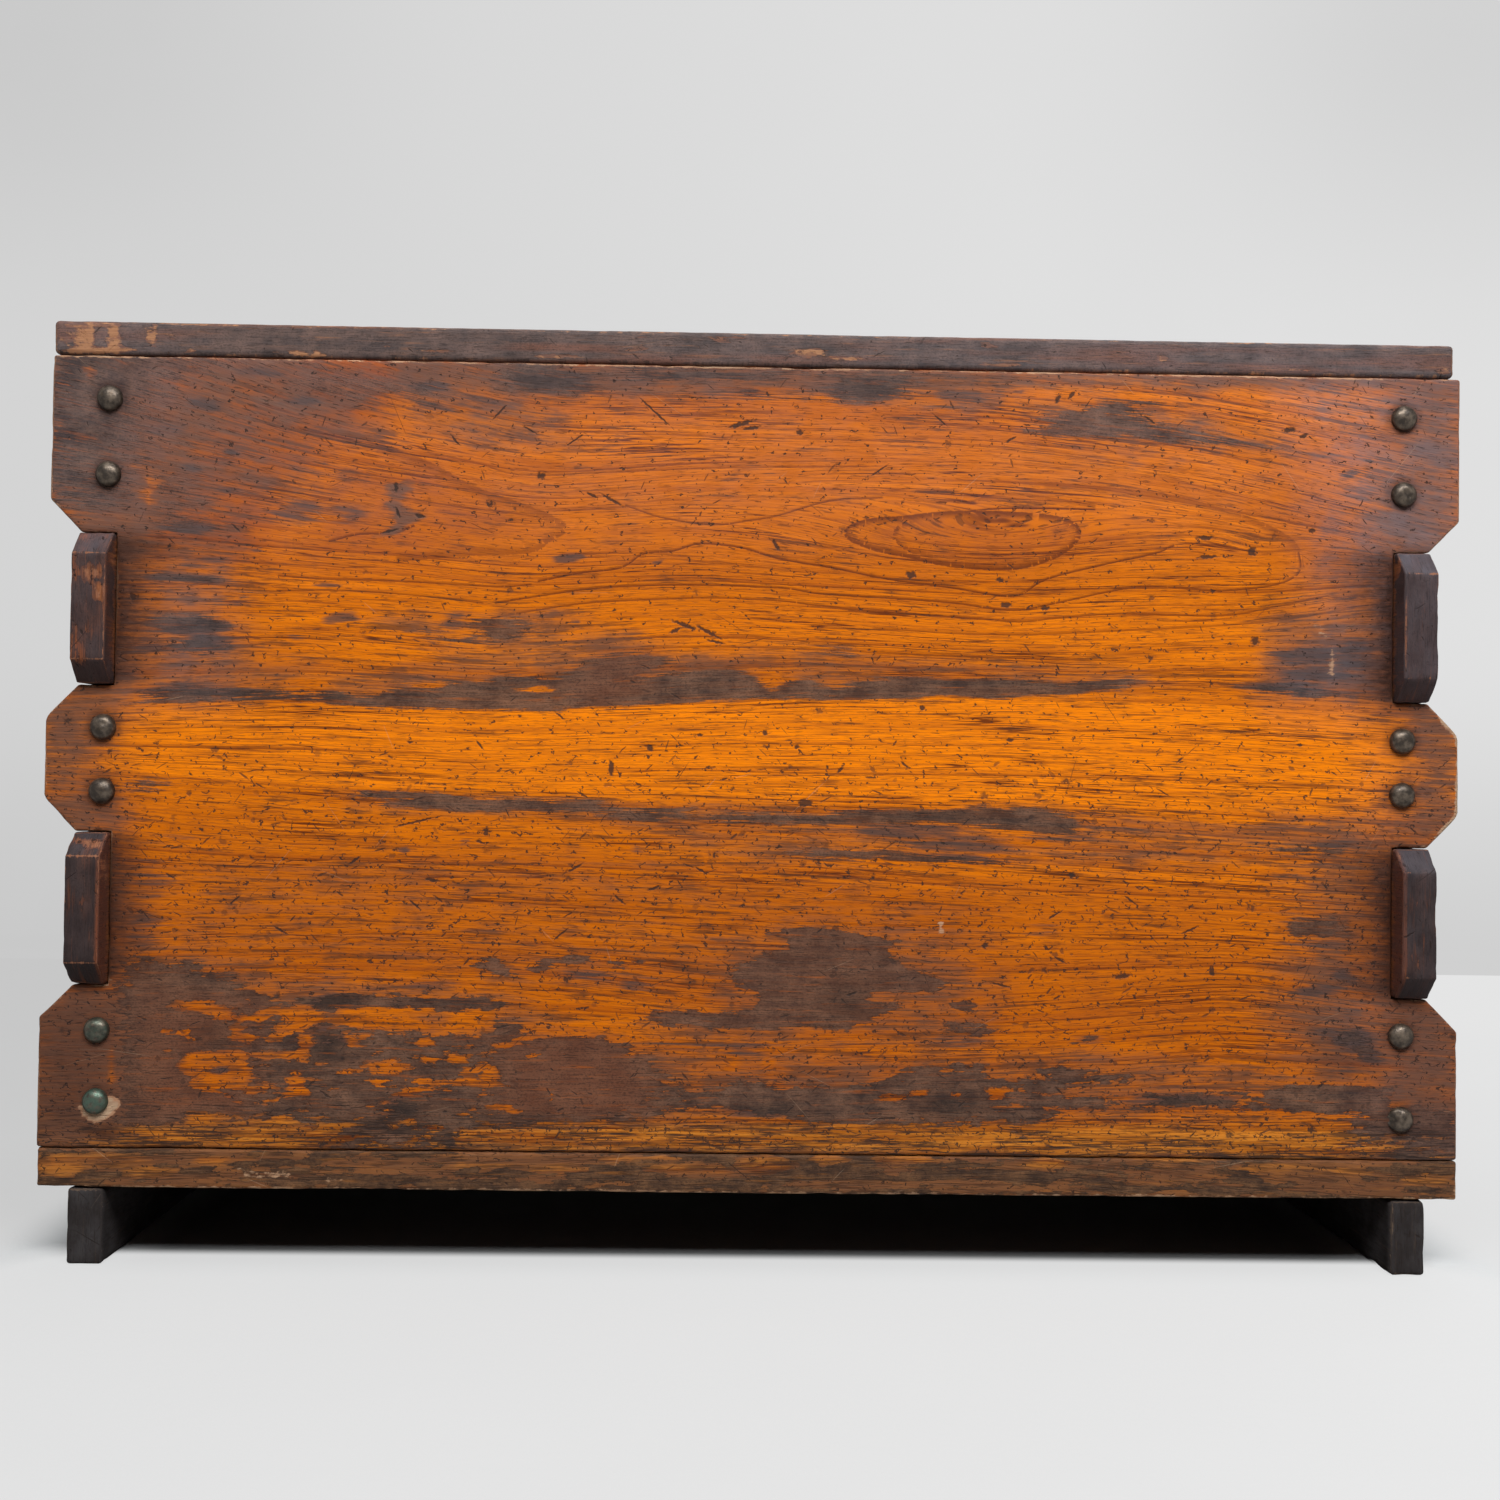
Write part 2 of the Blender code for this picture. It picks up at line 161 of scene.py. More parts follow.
# Dark lines of the figure: strength, half width, path. Each is sharp on the right of its path.
VEINS = (
    (0.80, 4.5, ((1030, 517), (985, 515), (940, 516), (905, 520), (868, 523), (848, 533), (870, 545),
                 (905, 553), (940, 561), (975, 565), (1010, 566), (1040, 560), (1062, 550),
                 (1076, 537), (1074, 527), (1060, 521), (1040, 518))),
    (0.60, 3.5, ((915, 521), (900, 528), (897, 538), (910, 549), (935, 556))),
    (0.85, 1.8, ((540, 580), (580, 572), (620, 567), (643, 553), (673, 550), (697, 543), (723, 544),
                 (747, 548), (780, 558), (833, 567), (887, 578), (953, 587), (1002, 595),
                 (1022, 593), (1047, 578), (1107, 563), (1153, 553), (1173, 545))),
    (0.80, 1.7, ((497, 602), (540, 595), (600, 587), (680, 584), (780, 587), (820, 593), (887, 597),
                 (953, 602), (993, 608), (1020, 609), (1053, 603), (1103, 592), (1140, 586),
                 (1180, 587), (1220, 590), (1270, 585), (1293, 577), (1300, 567), (1298, 553))),
    (0.70, 1.6, ((493, 617), (533, 610), (580, 603), (640, 599), (713, 597), (780, 600), (820, 605),
                 (903, 613), (970, 617), (1020, 621), (1060, 617), (1120, 613), (1220, 615),
                 (1270, 607), (1320, 597))),
    (1.00, 1.3, ((967, 511), (1000, 508), (1050, 508), (1093, 509))),
    (0.45, 2.6, ((1093, 507), (1053, 500), (1007, 495), (970, 503))),
    (0.75, 1.6, ((627, 505), (663, 517), (713, 524), (747, 520), (777, 515), (830, 500), (880, 497))),
    (0.50, 7.0, ((562, 529), (540, 517), (513, 507), (467, 490), (427, 468), (380, 450))),
    (0.50, 6.0, ((400, 556), (470, 550), (527, 548), (547, 537), (562, 529))),
    (0.70, 1.6, ((280, 575), (320, 578), (390, 580), (447, 583), (497, 586), (530, 584))),
    (0.65, 1.5, ((280, 590), (347, 590), (420, 595), (480, 602))),
    (0.85, 2.0, ((330, 540), (360, 533), (393, 532), (413, 525))),
    (0.55, 1.5, ((430, 452), (480, 463), (520, 474), (600, 472), (720, 467), (860, 466))),
    (0.45, 1.5, ((560, 431), (640, 433), (760, 437), (900, 441), (1050, 451), (1180, 469))),
    (0.45, 5.0, ((1300, 567), (1292, 545), (1262, 527), (1220, 512), (1150, 496), (1050, 487))),
    (0.55, 1.6, ((560, 652), (700, 646), (820, 649), (960, 656), (1120, 660))),
    (0.55, 1.6, ((880, 628), (1000, 634), (1120, 630), (1260, 622), (1350, 608))),
)
VEIN_STEPS = 4                  # short strokes for each stretch of a path

# Wood with a red tint: strength, softness, outline.
RED_AREAS = (
    (0.90, 30, ((150, 345), (430, 350), (390, 420), (310, 480), (260, 560), (140, 560), (130, 500),
                (140, 420))),
    (0.55, 26, ((280, 470), (420, 455), (566, 530), (420, 565), (300, 560))),
    (0.60, 14, ((846, 534), (900, 514), (985, 508), (1080, 520), (1180, 545), (1070, 566),
                (1000, 572), (900, 560))),
    (0.55, 40, ((1230, 480), (1300, 430), (1410, 420), (1410, 620), (1330, 610), (1280, 580))),
    (0.45, 24, ((420, 385), (900, 395), (1150, 440), (1190, 468), (800, 430), (430, 415))),
    (0.40, 26, ((640, 900), (1000, 915), (1060, 1000), (1000, 1060), (700, 1050), (600, 990))),
    (0.60, 30, ((40, 690), (130, 700), (150, 830), (150, 1130), (40, 1140))),
    (0.60, 30, ((1385, 600), (1460, 600), (1460, 1150), (1370, 1100), (1330, 960), (1370, 840))),
    (0.35, 22, ((500, 860), (900, 850), (1300, 880), (1300, 910), (900, 880), (500, 885))),
    (0.34, 50, ((140, 820), (1250, 860), (1250, 1060), (700, 1060), (500, 1000), (140, 960))),
    (0.30, 50, ((430, 490), (1180, 470), (1280, 620), (800, 660), (430, 660))),
    (0.95, 16, ((490, 1040), (600, 1034), (660, 1070), (650, 1115), (500, 1122))),
    (0.95, 16, ((125, 980), (260, 1000), (250, 1120), (130, 1125))),
    (0.70, 12, ((560, 690), (600, 645), (670, 645), (650, 690), (600, 705))),
)

# Old dark film that is left on the wood: cover, softness of its edge, outline.
FILM_AREAS = (
    (0.75, 2, ((391, 485), (402, 483), (401, 492), (397, 500), (391, 495))),
    (0.95, 12, ((40, 345), (250, 350), (215, 366), (190, 372), (165, 386), (150, 398), (138, 415),
                (132, 430), (138, 445), (128, 470), (120, 500), (100, 512), (70, 505), (40, 500))),
    (0.85, 9, ((150, 478), (180, 480), (190, 492), (200, 510), (205, 522), (190, 533), (165, 530),
               (150, 510))),
    (0.95, 5, ((283, 388), (296, 379), (330, 380), (352, 384), (372, 394), (362, 401), (338, 398),
               (300, 391))),
    (0.95, 5, ((312, 366), (328, 367), (356, 376), (395, 383), (430, 388), (424, 394), (380, 393),
               (350, 388), (330, 376))),
    (0.75, 5, ((404, 398), (420, 394), (452, 402), (440, 409), (412, 406))),
    (0.90, 7, ((495, 356), (570, 361), (592, 386), (600, 396), (575, 397), (545, 391), (498, 391))),
    (0.60, 8, ((455, 358), (500, 358), (500, 392), (470, 388), (462, 372))),
    (0.64, 8, ((585, 362), (800, 366), (905, 371), (1010, 374), (1010, 392), (930, 386), (800, 384),
               (590, 384))),
    (0.85, 4, ((738, 388), (750, 388), (768, 396), (790, 398), (812, 398), (806, 403), (760, 401),
               (744, 394))),
    (0.95, 6, ((822, 399), (838, 380), (868, 373), (908, 373), (912, 390), (895, 401), (850, 404))),
    (0.50, 10, ((905, 380), (960, 385), (1010, 395), (1015, 412), (960, 416), (905, 402))),
    (0.92, 6, ((1055, 412), (1098, 402), (1150, 400), (1142, 412), (1156, 424), (1200, 432),
               (1238, 440), (1228, 447), (1180, 444), (1120, 438), (1058, 437), (1018, 432),
               (1032, 426))),
    (0.80, 4, ((1252, 440), (1270, 441), (1298, 449), (1290, 453), (1262, 447))),
    (0.70, 6, ((1335, 466), (1350, 464), (1366, 476), (1355, 484), (1338, 478))),
    (0.95, 5, ((470, 620), (494, 615), (528, 619), (536, 630), (520, 640), (492, 641), (478, 633))),
    (0.72, 5, ((395, 628), (430, 627), (445, 634), (490, 636), (500, 642), (462, 650), (440, 645),
               (415, 640))),
    (1.00, 4, ((312, 690), (330, 687), (352, 690), (356, 697), (395, 690), (402, 683), (445, 680),
               (475, 682), (520, 675), (548, 680), (575, 670), (592, 660), (620, 655), (660, 654),
               (675, 660), (652, 667), (640, 676), (690, 672), (735, 670), (760, 680), (775, 688),
               (810, 680), (838, 690), (850, 680), (900, 677), (1000, 679), (1070, 684),
               (1130, 678), (1142, 684), (1120, 691), (1060, 696), (1000, 698), (900, 698),
               (800, 698), (740, 699), (680, 704), (620, 707), (560, 711), (480, 711), (400, 707),
               (330, 706))),
    (0.85, 4, ((1228, 686), (1270, 684), (1330, 690), (1385, 692), (1340, 697), (1300, 699),
               (1260, 694))),
    (0.75, 4, ((800, 644), (840, 646), (862, 652), (850, 659), (815, 655))),
    (0.80, 4, ((140, 571), (180, 576), (215, 572), (240, 578), (210, 583), (160, 582))),
    (0.85, 5, ((146, 614), (190, 612), (232, 618), (222, 632), (150, 630))),
    (0.85, 5, ((160, 640), (215, 634), (228, 645), (205, 656), (165, 650))),
    (0.70, 4, ((200, 589), (255, 592), (262, 599), (215, 600))),
    (0.70, 4, ((318, 612), (345, 612), (358, 618), (340, 623), (316, 620))),
    (0.78, 5, ((130, 690), (180, 683), (230, 688), (300, 690), (318, 694), (318, 704), (220, 703),
               (135, 706))),
    (0.90, 4, ((340, 790), (420, 792), (540, 800), (605, 797), (602, 806), (690, 808), (700, 815),
               (660, 822), (600, 815), (500, 812), (380, 808), (392, 802), (350, 798))),
    (0.95, 5, ((700, 814), (800, 812), (960, 808), (1080, 814), (1075, 826), (1020, 834),
               (960, 824), (880, 824), (780, 824), (720, 820))),
    (1.00, 5, ((965, 806), (1010, 808), (1080, 816), (1078, 832), (1040, 836), (1000, 828))),
    (0.95, 4, ((785, 851), (830, 849), (900, 852), (960, 855), (1012, 858), (1000, 865), (940, 862),
               (860, 863), (820, 857))),
    (0.75, 4, ((1080, 824), (1160, 826), (1150, 833), (1090, 832))),
    (0.85, 4, ((1215, 843), (1290, 844), (1365, 850), (1340, 856), (1260, 851))),
    (0.70, 4, ((1280, 858), (1330, 860), (1325, 866), (1285, 864))),
    (0.70, 4, ((1280, 875), (1330, 876), (1325, 882), (1280, 880))),
    (0.85, 5, ((1285, 918), (1330, 912), (1350, 925), (1340, 938), (1290, 938))),
    (0.60, 5, ((1240, 903), (1310, 908), (1330, 916), (1270, 912))),
    (0.80, 5, ((122, 783), (150, 778), (172, 788), (150, 795), (125, 792))),
    (1.00, 4, ((770, 931), (800, 926), (842, 930), (872, 936), (905, 940), (888, 949), (902, 962),
               (918, 972), (942, 982), (936, 991), (900, 994), (882, 990), (872, 1000), (890, 1010),
               (868, 1021), (848, 1028), (800, 1028), (742, 1030), (700, 1028), (640, 1022),
               (652, 1012), (700, 1010), (732, 1013), (764, 1003), (754, 990), (734, 985),
               (728, 976), (746, 964), (782, 950), (792, 942))),
    (0.66, 5, ((122, 948), (150, 955), (200, 962), (240, 975), (262, 990), (300, 1001), (318, 995),
               (345, 992), (420, 992), (490, 998), (521, 1004), (512, 1012), (470, 1012),
               (440, 1016), (436, 1026), (470, 1030), (500, 1016), (524, 1022), (530, 1032),
               (522, 1040), (560, 1036), (602, 1034), (640, 1045), (656, 1054), (668, 1076),
               (690, 1086), (742, 1076), (790, 1086), (850, 1084), (882, 1074), (920, 1062),
               (960, 1060), (986, 1066), (1000, 1076), (1016, 1079), (1040, 1064), (1062, 1058),
               (1088, 1068), (1138, 1073), (1132, 1084), (1090, 1087), (1060, 1092), (1150, 1092),
               (1205, 1092), (1232, 1086), (1262, 1091), (1282, 1085), (1345, 1085), (1385, 1086),
               (1385, 1113), (1330, 1114), (1250, 1112), (1170, 1112), (1100, 1111), (1072, 1113),
               (1040, 1123), (1000, 1128), (940, 1131), (880, 1129), (800, 1126), (770, 1121),
               (742, 1114), (702, 1110), (660, 1119), (620, 1123), (570, 1126), (520, 1129),
               (470, 1131), (400, 1131), (330, 1130), (290, 1123), (240, 1121), (200, 1123),
               (140, 1131), (112, 1128), (118, 1040))),
    (0.95, 6, ((490, 1042), (560, 1036), (602, 1036), (640, 1048), (664, 1078), (650, 1108),
               (600, 1120), (520, 1126), (490, 1100))),
    (0.95, 6, ((700, 1088), (850, 1086), (900, 1074), (980, 1068), (1000, 1085), (960, 1122),
               (800, 1120), (740, 1110))),
    (0.92, 7, ((125, 962), (225, 975), (244, 1000), (238, 1118), (150, 1124), (120, 1100))),
    (0.95, 5, ((290, 1002), (340, 995), (420, 996), (500, 1000), (520, 1008), (440, 1014),
               (330, 1010))),
    (0.95, 5, ((328, 1016), (368, 1020), (374, 1118), (334, 1124), (312, 1062))),
    (0.90, 5, ((384, 1094), (480, 1098), (480, 1126), (384, 1128))),
    (0.75, 6, ((1335, 1026), (1372, 1030), (1378, 1052), (1362, 1066), (1345, 1050))),
    (0.80, 4, ((945, 1024), (985, 1022), (1002, 1028), (985, 1036), (950, 1034))),
    (0.80, 4, ((955, 1000), (985, 1000), (985, 1012), (950, 1010))),
    (0.70, 4, ((1065, 1037), (1100, 1036), (1105, 1044), (1070, 1045))),
    (0.60, 4, ((870, 1003), (940, 1004), (920, 1011), (880, 1011))),
    (0.80, 4, ((545, 958), (590, 953), (600, 961), (560, 968), (540, 975), (530, 970))),
    (0.45, 6, ((600, 950), (650, 955), (660, 965), (620, 985), (585, 985), (595, 965))),
    (0.80, 4, ((470, 962), (500, 952), (515, 972), (510, 981), (490, 975))),
    (0.70, 4, ((520, 965), (545, 962), (545, 975), (525, 978))),
    (0.22, 6, ((112, 1113), (1385, 1116), (1385, 1200), (112, 1190))),
    (0.58, 5, ((328, 1116), (470, 1124), (470, 1152), (330, 1152))),
    (0.50, 6, ((1008, 1132), (1052, 1130), (1056, 1152), (1004, 1152))),
    (1.00, 3, ((1262, 1092), (1284, 1085), (1345, 1085), (1392, 1088), (1392, 1111), (1330, 1113),
               (1262, 1109))),
    (0.62, 6, ((1385, 1112), (1470, 1112), (1470, 1200), (1385, 1200))),
    (0.80, 8, ((1340, 1104), (1470, 1106), (1470, 1144), (1395, 1140), (1350, 1146))),
)
# Bare places inside the film: place, half length, half height.
BARE_ISLANDS = (
    (91, 371, 7, 8), (148, 495, 7, 18), (536, 691, 32, 4), (430, 686, 28, 3), (771, 677, 14, 9),
    (200, 1009, 33, 8), (192, 1032, 6, 9), (216, 1058, 30, 11), (208, 1087, 30, 5),
    (256, 1089, 18, 4), (295, 1087, 10, 12), (208, 1116, 20, 4), (296, 1012, 28, 7),
    (290, 1026, 20, 6), (382, 1020, 47, 12), (470, 1021, 24, 8), (281, 1056, 27, 4),
    (305, 1040, 6, 5), (341, 1038, 9, 7), (385, 1067, 16, 5), (470, 1083, 30, 3),
    (430, 1060, 10, 3), (464, 1058, 12, 4), (492, 1077, 12, 12), (535, 1055, 11, 5),
    (580, 1057, 18, 2), (550, 1097, 5, 7), (630, 1057, 10, 4), (737, 1065, 8, 9), (772, 1062, 8, 6),
    (892, 1097, 17, 7), (920, 1094, 15, 4), (952, 1095, 8, 3), (998, 1093, 12, 5),
    (1130, 1100, 30, 3), (1225, 1098, 26, 3),
)
# Larger bare places inside the film: strength, softness, outline.
BARE_AREAS = (
    (1.0, 2, ((165, 1007), (173, 1000), (209, 1001), (228, 1007), (231, 1018), (215, 1019), (200, 1014),
              (184, 1011))),
    (1.0, 2, ((187, 1023), (194, 1028), (197, 1043), (188, 1043))),
    (1.0, 2, ((224, 1020), (236, 1024), (241, 1040), (228, 1040), (230, 1030))),
    (0.9, 2, ((175, 1064), (182, 1058), (193, 1050), (242, 1050), (249, 1060), (252, 1074), (248, 1088),
              (231, 1090), (200, 1092), (186, 1086), (190, 1078), (177, 1074))),
    (1.0, 1, ((110, 1046), (116, 1045), (114, 1062), (118, 1080), (113, 1088), (108, 1081), (111, 1062))),
    (1.0, 2, ((256, 1084), (273, 1084), (274, 1091), (258, 1091))),
    (1.0, 2, ((296, 1072), (301, 1081), (308, 1095), (287, 1096), (289, 1084))),
    (1.0, 2, ((186, 1112), (205, 1110), (222, 1113), (222, 1122), (186, 1122))),
    (1.0, 2, ((268, 1005), (290, 1007), (318, 1010), (327, 1017), (327, 1025), (300, 1025), (284, 1019),
              (271, 1014))),
    (1.0, 2, ((277, 1024), (308, 1024), (308, 1034), (290, 1033))),
    (1.0, 2, ((259, 1051), (308, 1050), (309, 1058), (262, 1059))),
    (1.0, 2, ((302, 1034), (311, 1034), (310, 1049), (302, 1048))),
    (1.0, 2, ((334, 1013), (345, 1008), (400, 1007), (419, 1009), (421, 1018), (431, 1023), (433, 1031),
              (405, 1031), (380, 1028), (340, 1027))),
    (1.0, 2, ((340, 1030), (352, 1030), (357, 1046), (345, 1047))),
    (0.7, 2, ((364, 1062), (385, 1060), (411, 1064), (410, 1072), (372, 1076))),
    (0.7, 2, ((400, 1080), (436, 1079), (452, 1084), (420, 1087))),
    (1.0, 2, ((450, 1055), (470, 1054), (470, 1063), (452, 1063))),
    (0.7, 2, ((462, 1079), (500, 1076), (509, 1086), (480, 1086))),
    (0.9, 2, ((446, 1012), (480, 1010), (498, 1015), (490, 1022), (470, 1030), (446, 1030))),
)
# Small flecks off the film, strewn at random: the area, how many, half lengths and half heights.
FLECK_AREA = (168, 1006, 520, 1128)
FLECK_COUNT = 44
FLECK_LENGTHS = (5, 20)
FLECK_HEIGHTS = (2.0, 4.0)
# Grime and painted shade on the face: strength, softness, outline.
GRIME_AND_SHADE_AREAS = (
    (0.75, 8, ((84, 1122), (98, 1127), (112, 1120), (116, 1134), (104, 1142), (88, 1132))),
    (0.30, 14, ((1350, 700), (1400, 698), (1400, 730), (1352, 726))),
    (0.22, 24, ((1392, 935), (1470, 935), (1470, 1050), (1392, 1050))),
    (0.46, 30, ((20, 1000), (110, 1000), (112, 1135), (20, 1135))),
    (0.16, 30, ((20, 340), (140, 340), (130, 500), (20, 500))),
    (0.10, 20, ((20, 690), (95, 690), (100, 830), (20, 830))),
    (0.22, 30, ((1390, 1010), (1470, 1010), (1470, 1150), (1390, 1150))),
    (0.20, 30, ((1400, 700), (1470, 700), (1470, 850), (1400, 850))),
    (0.35, 20, ((1320, 1044), (1385, 1046), (1385, 1085), (1325, 1080))),
    (0.35, 12, ((330, 1122), (382, 1122), (380, 1150), (334, 1150))),
    (0.20, 14, ((400, 352), (1010, 366), (1010, 390), (700, 384), (400, 384))),
    (0.16, 30, ((1395, 370), (1470, 370), (1470, 540), (1395, 540))),
    (0.14, 30, ((130, 560), (240, 560), (240, 700), (130, 700))),
    (0.34, 40, ((1280, 606), (1400, 596), (1400, 700), (1280, 695))),
    (0.12, 30, ((395, 385), (560, 400), (560, 450), (420, 430))),
    (0.20, 14, ((98, 735), (128, 735), (128, 770), (98, 770))),
)
# Thin film that lets the wood show through reddish: cover, softness, outline.
STAIN_AREAS = (
    (1.00, 3, ((389, 484), (404, 481), (418, 487), (404, 493), (398, 500), (402, 508), (424, 511),
               (429, 519), (408, 524), (399, 533), (372, 538), (392, 527), (394, 515), (384, 503))),
    (0.95, 26, ((20, 340), (330, 350), (300, 400), (240, 450), (205, 520), (160, 545), (150, 600),
                (150, 690), (118, 712), (108, 775), (122, 800), (128, 850), (132, 950), (150, 1000),
                (140, 1060), (150, 1125), (100, 1150), (20, 1150))),
    (0.75, 34, ((150, 350), (400, 355), (380, 430), (320, 480), (250, 520), (230, 560), (250, 620),
                (330, 680), (250, 702), (130, 706))),
    (0.90, 24, ((1385, 370), (1480, 370), (1480, 1160), (1385, 1160), (1380, 1115), (1352, 1090),
                (1345, 1030), (1358, 990), (1355, 930), (1345, 890), (1355, 850), (1385, 825),
                (1392, 812), (1392, 720), (1365, 690), (1350, 640), (1362, 600), (1350, 560),
                (1362, 470))),
    (0.55, 34, ((1310, 372), (1390, 372), (1390, 700), (1320, 690), (1310, 540), (1330, 470))),
    (0.85, 30, ((1265, 614), (1395, 606), (1395, 700), (1275, 694))),
    (1.00, 14, ((20, 985), (196, 990), (190, 1128), (20, 1136))),
    (0.50, 24, ((390, 395), (560, 400), (600, 450), (470, 455), (400, 430))),
    (0.40, 16, ((1060, 440), (1200, 445), (1190, 475), (1080, 470))),
    (0.82, 30, ((1270, 810), (1390, 810), (1390, 1100), (1280, 1085), (1270, 1000), (1290, 940))),
    (0.36, 40, ((130, 840), (640, 850), (1000, 880), (1050, 960), (700, 1000), (120, 980))),
    (0.85, 14, ((380, 355), (1460, 368), (1460, 392), (1050, 392), (760, 396), (560, 400), (400, 398))),
    (0.70, 20, ((390, 360), (520, 360), (560, 430), (470, 425), (400, 410))),
    (0.60, 16, ((880, 372), (1040, 376), (1020, 416), (940, 420), (880, 405))),
    (0.55, 16, ((1000, 398), (1160, 392), (1260, 432), (1320, 460), (1250, 458), (1080, 446))),
    (0.60, 16, ((360, 610), (560, 606), (690, 648), (820, 640), (900, 655), (1160, 668),
                (1170, 694), (300, 704), (310, 676), (420, 662))),
    (0.50, 18, ((330, 786), (700, 800), (1100, 806), (1390, 836), (1390, 870), (1100, 872),
                (760, 872), (600, 830), (340, 812))),
    (0.65, 22, ((690, 940), (780, 915), (920, 928), (1010, 965), (1000, 1050), (660, 1045),
                (620, 1018), (700, 1000))),
    (0.60, 20, ((120, 930), (300, 970), (520, 985), (560, 1020), (680, 1040), (900, 1050),
                (1100, 1046), (1390, 1075), (1390, 1120), (112, 1135))),
    (0.40, 22, ((430, 940), (660, 930), (690, 985), (520, 1000), (440, 985))),
    (0.55, 10, ((20, 1140), (1480, 1150), (1480, 1205), (20, 1195))),
)
# Soft grey smudges: place, half length, half height, strength.
SMUDGES = (
    (187, 527, 34, 10, 0.8), (207, 562, 38, 7, 0.6), (185, 577, 52, 7, 0.8), (257, 548, 9, 6, 0.5),
    (220, 595, 18, 5, 0.6), (237, 603, 30, 4, 0.5), (197, 627, 44, 12, 0.9), (210, 643, 34, 13, 0.9),
    (157, 650, 44, 12, 0.6), (293, 637, 20, 6, 0.5), (333, 620, 16, 8, 0.7), (220, 692, 66, 6, 0.9),
    (262, 697, 46, 6, 0.7), (173, 687, 46, 10, 0.6), (333, 697, 18, 8, 0.8), (277, 672, 5, 5, 0.7),
    (347, 517, 20, 7, 0.7), (333, 585, 16, 3, 0.7), (340, 617, 22, 8, 0.8), (327, 463, 10, 4, 0.5),
    (313, 430, 14, 6, 0.5), (567, 557, 20, 6, 0.9), (663, 562, 6, 5, 0.7), (571, 621, 7, 4, 0.8),
    (470, 609, 12, 4, 0.6), (1347, 475, 14, 8, 0.7), (1367, 461, 8, 6, 0.6), (1245, 442, 40, 8, 0.5),
    (1310, 455, 50, 8, 0.4), (1337, 594, 12, 6, 0.5), (1334, 577, 9, 5, 0.4), (1305, 655, 40, 12, 0.8),
    (1318, 674, 46, 10, 0.9), (1283, 688, 60, 5, 0.8), (1350, 655, 26, 30, 0.6), (1302, 694, 8, 4, 0.7),
    (1354, 699, 5, 5, 0.7), (1259, 845, 34, 4, 0.6), (1337, 845, 44, 6, 0.6), (1331, 863, 34, 4, 0.6),
    (1321, 876, 38, 4, 0.6), (1345, 977, 14, 13, 0.7), (1318, 991, 38, 7, 0.8), (1355, 1040, 28, 16, 0.9),
    (1331, 1032, 32, 8, 0.6), (1369, 1056, 16, 11, 0.8), (1350, 1069, 54, 6, 0.5), (1254, 1127, 5, 5, 0.8),
    (1300, 825, 70, 10, 0.4), (430, 386, 26, 7, 0.8), (480, 400, 40, 9, 0.5), (556, 381, 52, 15, 0.8),
    (865, 391, 46, 13, 0.8), (755, 391, 14, 4, 0.8), (960, 400, 52, 14, 0.5), (700, 376, 90, 7, 0.5),
    (1019, 392, 9, 4, 0.6), (205, 405, 26, 12, 0.6), (165, 430, 30, 10, 0.5), (300, 400, 30, 8, 0.6),
    (230, 452, 16, 6, 0.6), (262, 372, 40, 10, 0.6), (190, 470, 14, 10, 0.5), (225, 492, 16, 8, 0.6),
    (345, 488, 12, 4, 0.5), (405, 850, 9, 4, 0.8), (468, 842, 6, 5, 0.8), (640, 848, 10, 8, 0.6),
    (150, 880, 30, 30, 0.5), (145, 930, 26, 30, 0.5), (170, 840, 40, 8, 0.4), (640, 985, 24, 10, 0.5),
    (590, 975, 40, 10, 0.5), (430, 985, 40, 10, 0.5), (330, 975, 30, 12, 0.5), (745, 1050, 34, 10, 0.6),
    (960, 1040, 40, 10, 0.5), (1090, 1040, 26, 8, 0.5), (1040, 930, 30, 8, 0.4), (930, 815, 70, 10, 0.6),
    (1060, 835, 60, 10, 0.5), (1310, 945, 50, 14, 0.4), (1340, 1010, 40, 14, 0.4),
    (329, 1042, 18, 24, 1.0), (335, 1001, 34, 9, 1.0), (222, 1044, 24, 5, 1.0), (403, 1106, 24, 14, 0.8),
    (375, 1126, 18, 7, 1.0), (470, 1004, 50, 6, 0.6), (214, 1030, 18, 9, 0.6), (850, 1000, 30, 20, 0.6),
    (960, 848, 80, 18, 0.7), (915, 832, 70, 12, 0.7), (345, 513, 34, 12, 0.6), (440, 408, 40, 8, 0.6),
    (480, 440, 50, 8, 0.4), (115, 752, 14, 12, 0.4), (170, 660, 40, 12, 0.5), (700, 1046, 60, 8, 0.5),
    (300, 512, 34, 16, 0.7), (455, 622, 22, 14, 0.6), (220, 1071, 13, 5, 0.9),
    (520, 1118, 40, 8, 0.6), (760, 1112, 50, 8, 0.7), (950, 1108, 40, 12, 0.7), (1180, 1100, 70, 8, 0.8),
)
# Painted sheen, a pale bluish reflection painted into the colour, strongest along the top and at the upper
# right end: strength, softness, outline.
PAINTED_SHEEN_AREAS = (
    (0.040, 60, ((20, 300), (1480, 300), (1480, 520), (20, 560))),
    (0.050, 22, ((20, 300), (1480, 320), (1480, 398), (900, 396), (430, 400), (20, 380))),
    (0.150, 60, ((1270, 360), (1480, 360), (1480, 640), (1360, 700), (1290, 690), (1330, 600))),
    (0.060, 36, ((20, 340), (250, 340), (190, 440), (150, 530), (20, 520))),
    (0.060, 34, ((120, 560), (230, 560), (230, 700), (120, 700))),
    (0.025, 36, ((1375, 680), (1480, 680), (1480, 1170), (1375, 1170), (1330, 1060), (1350, 820))),
    (0.010, 34, ((20, 690), (115, 690), (130, 850), (110, 1140), (20, 1140))),
)
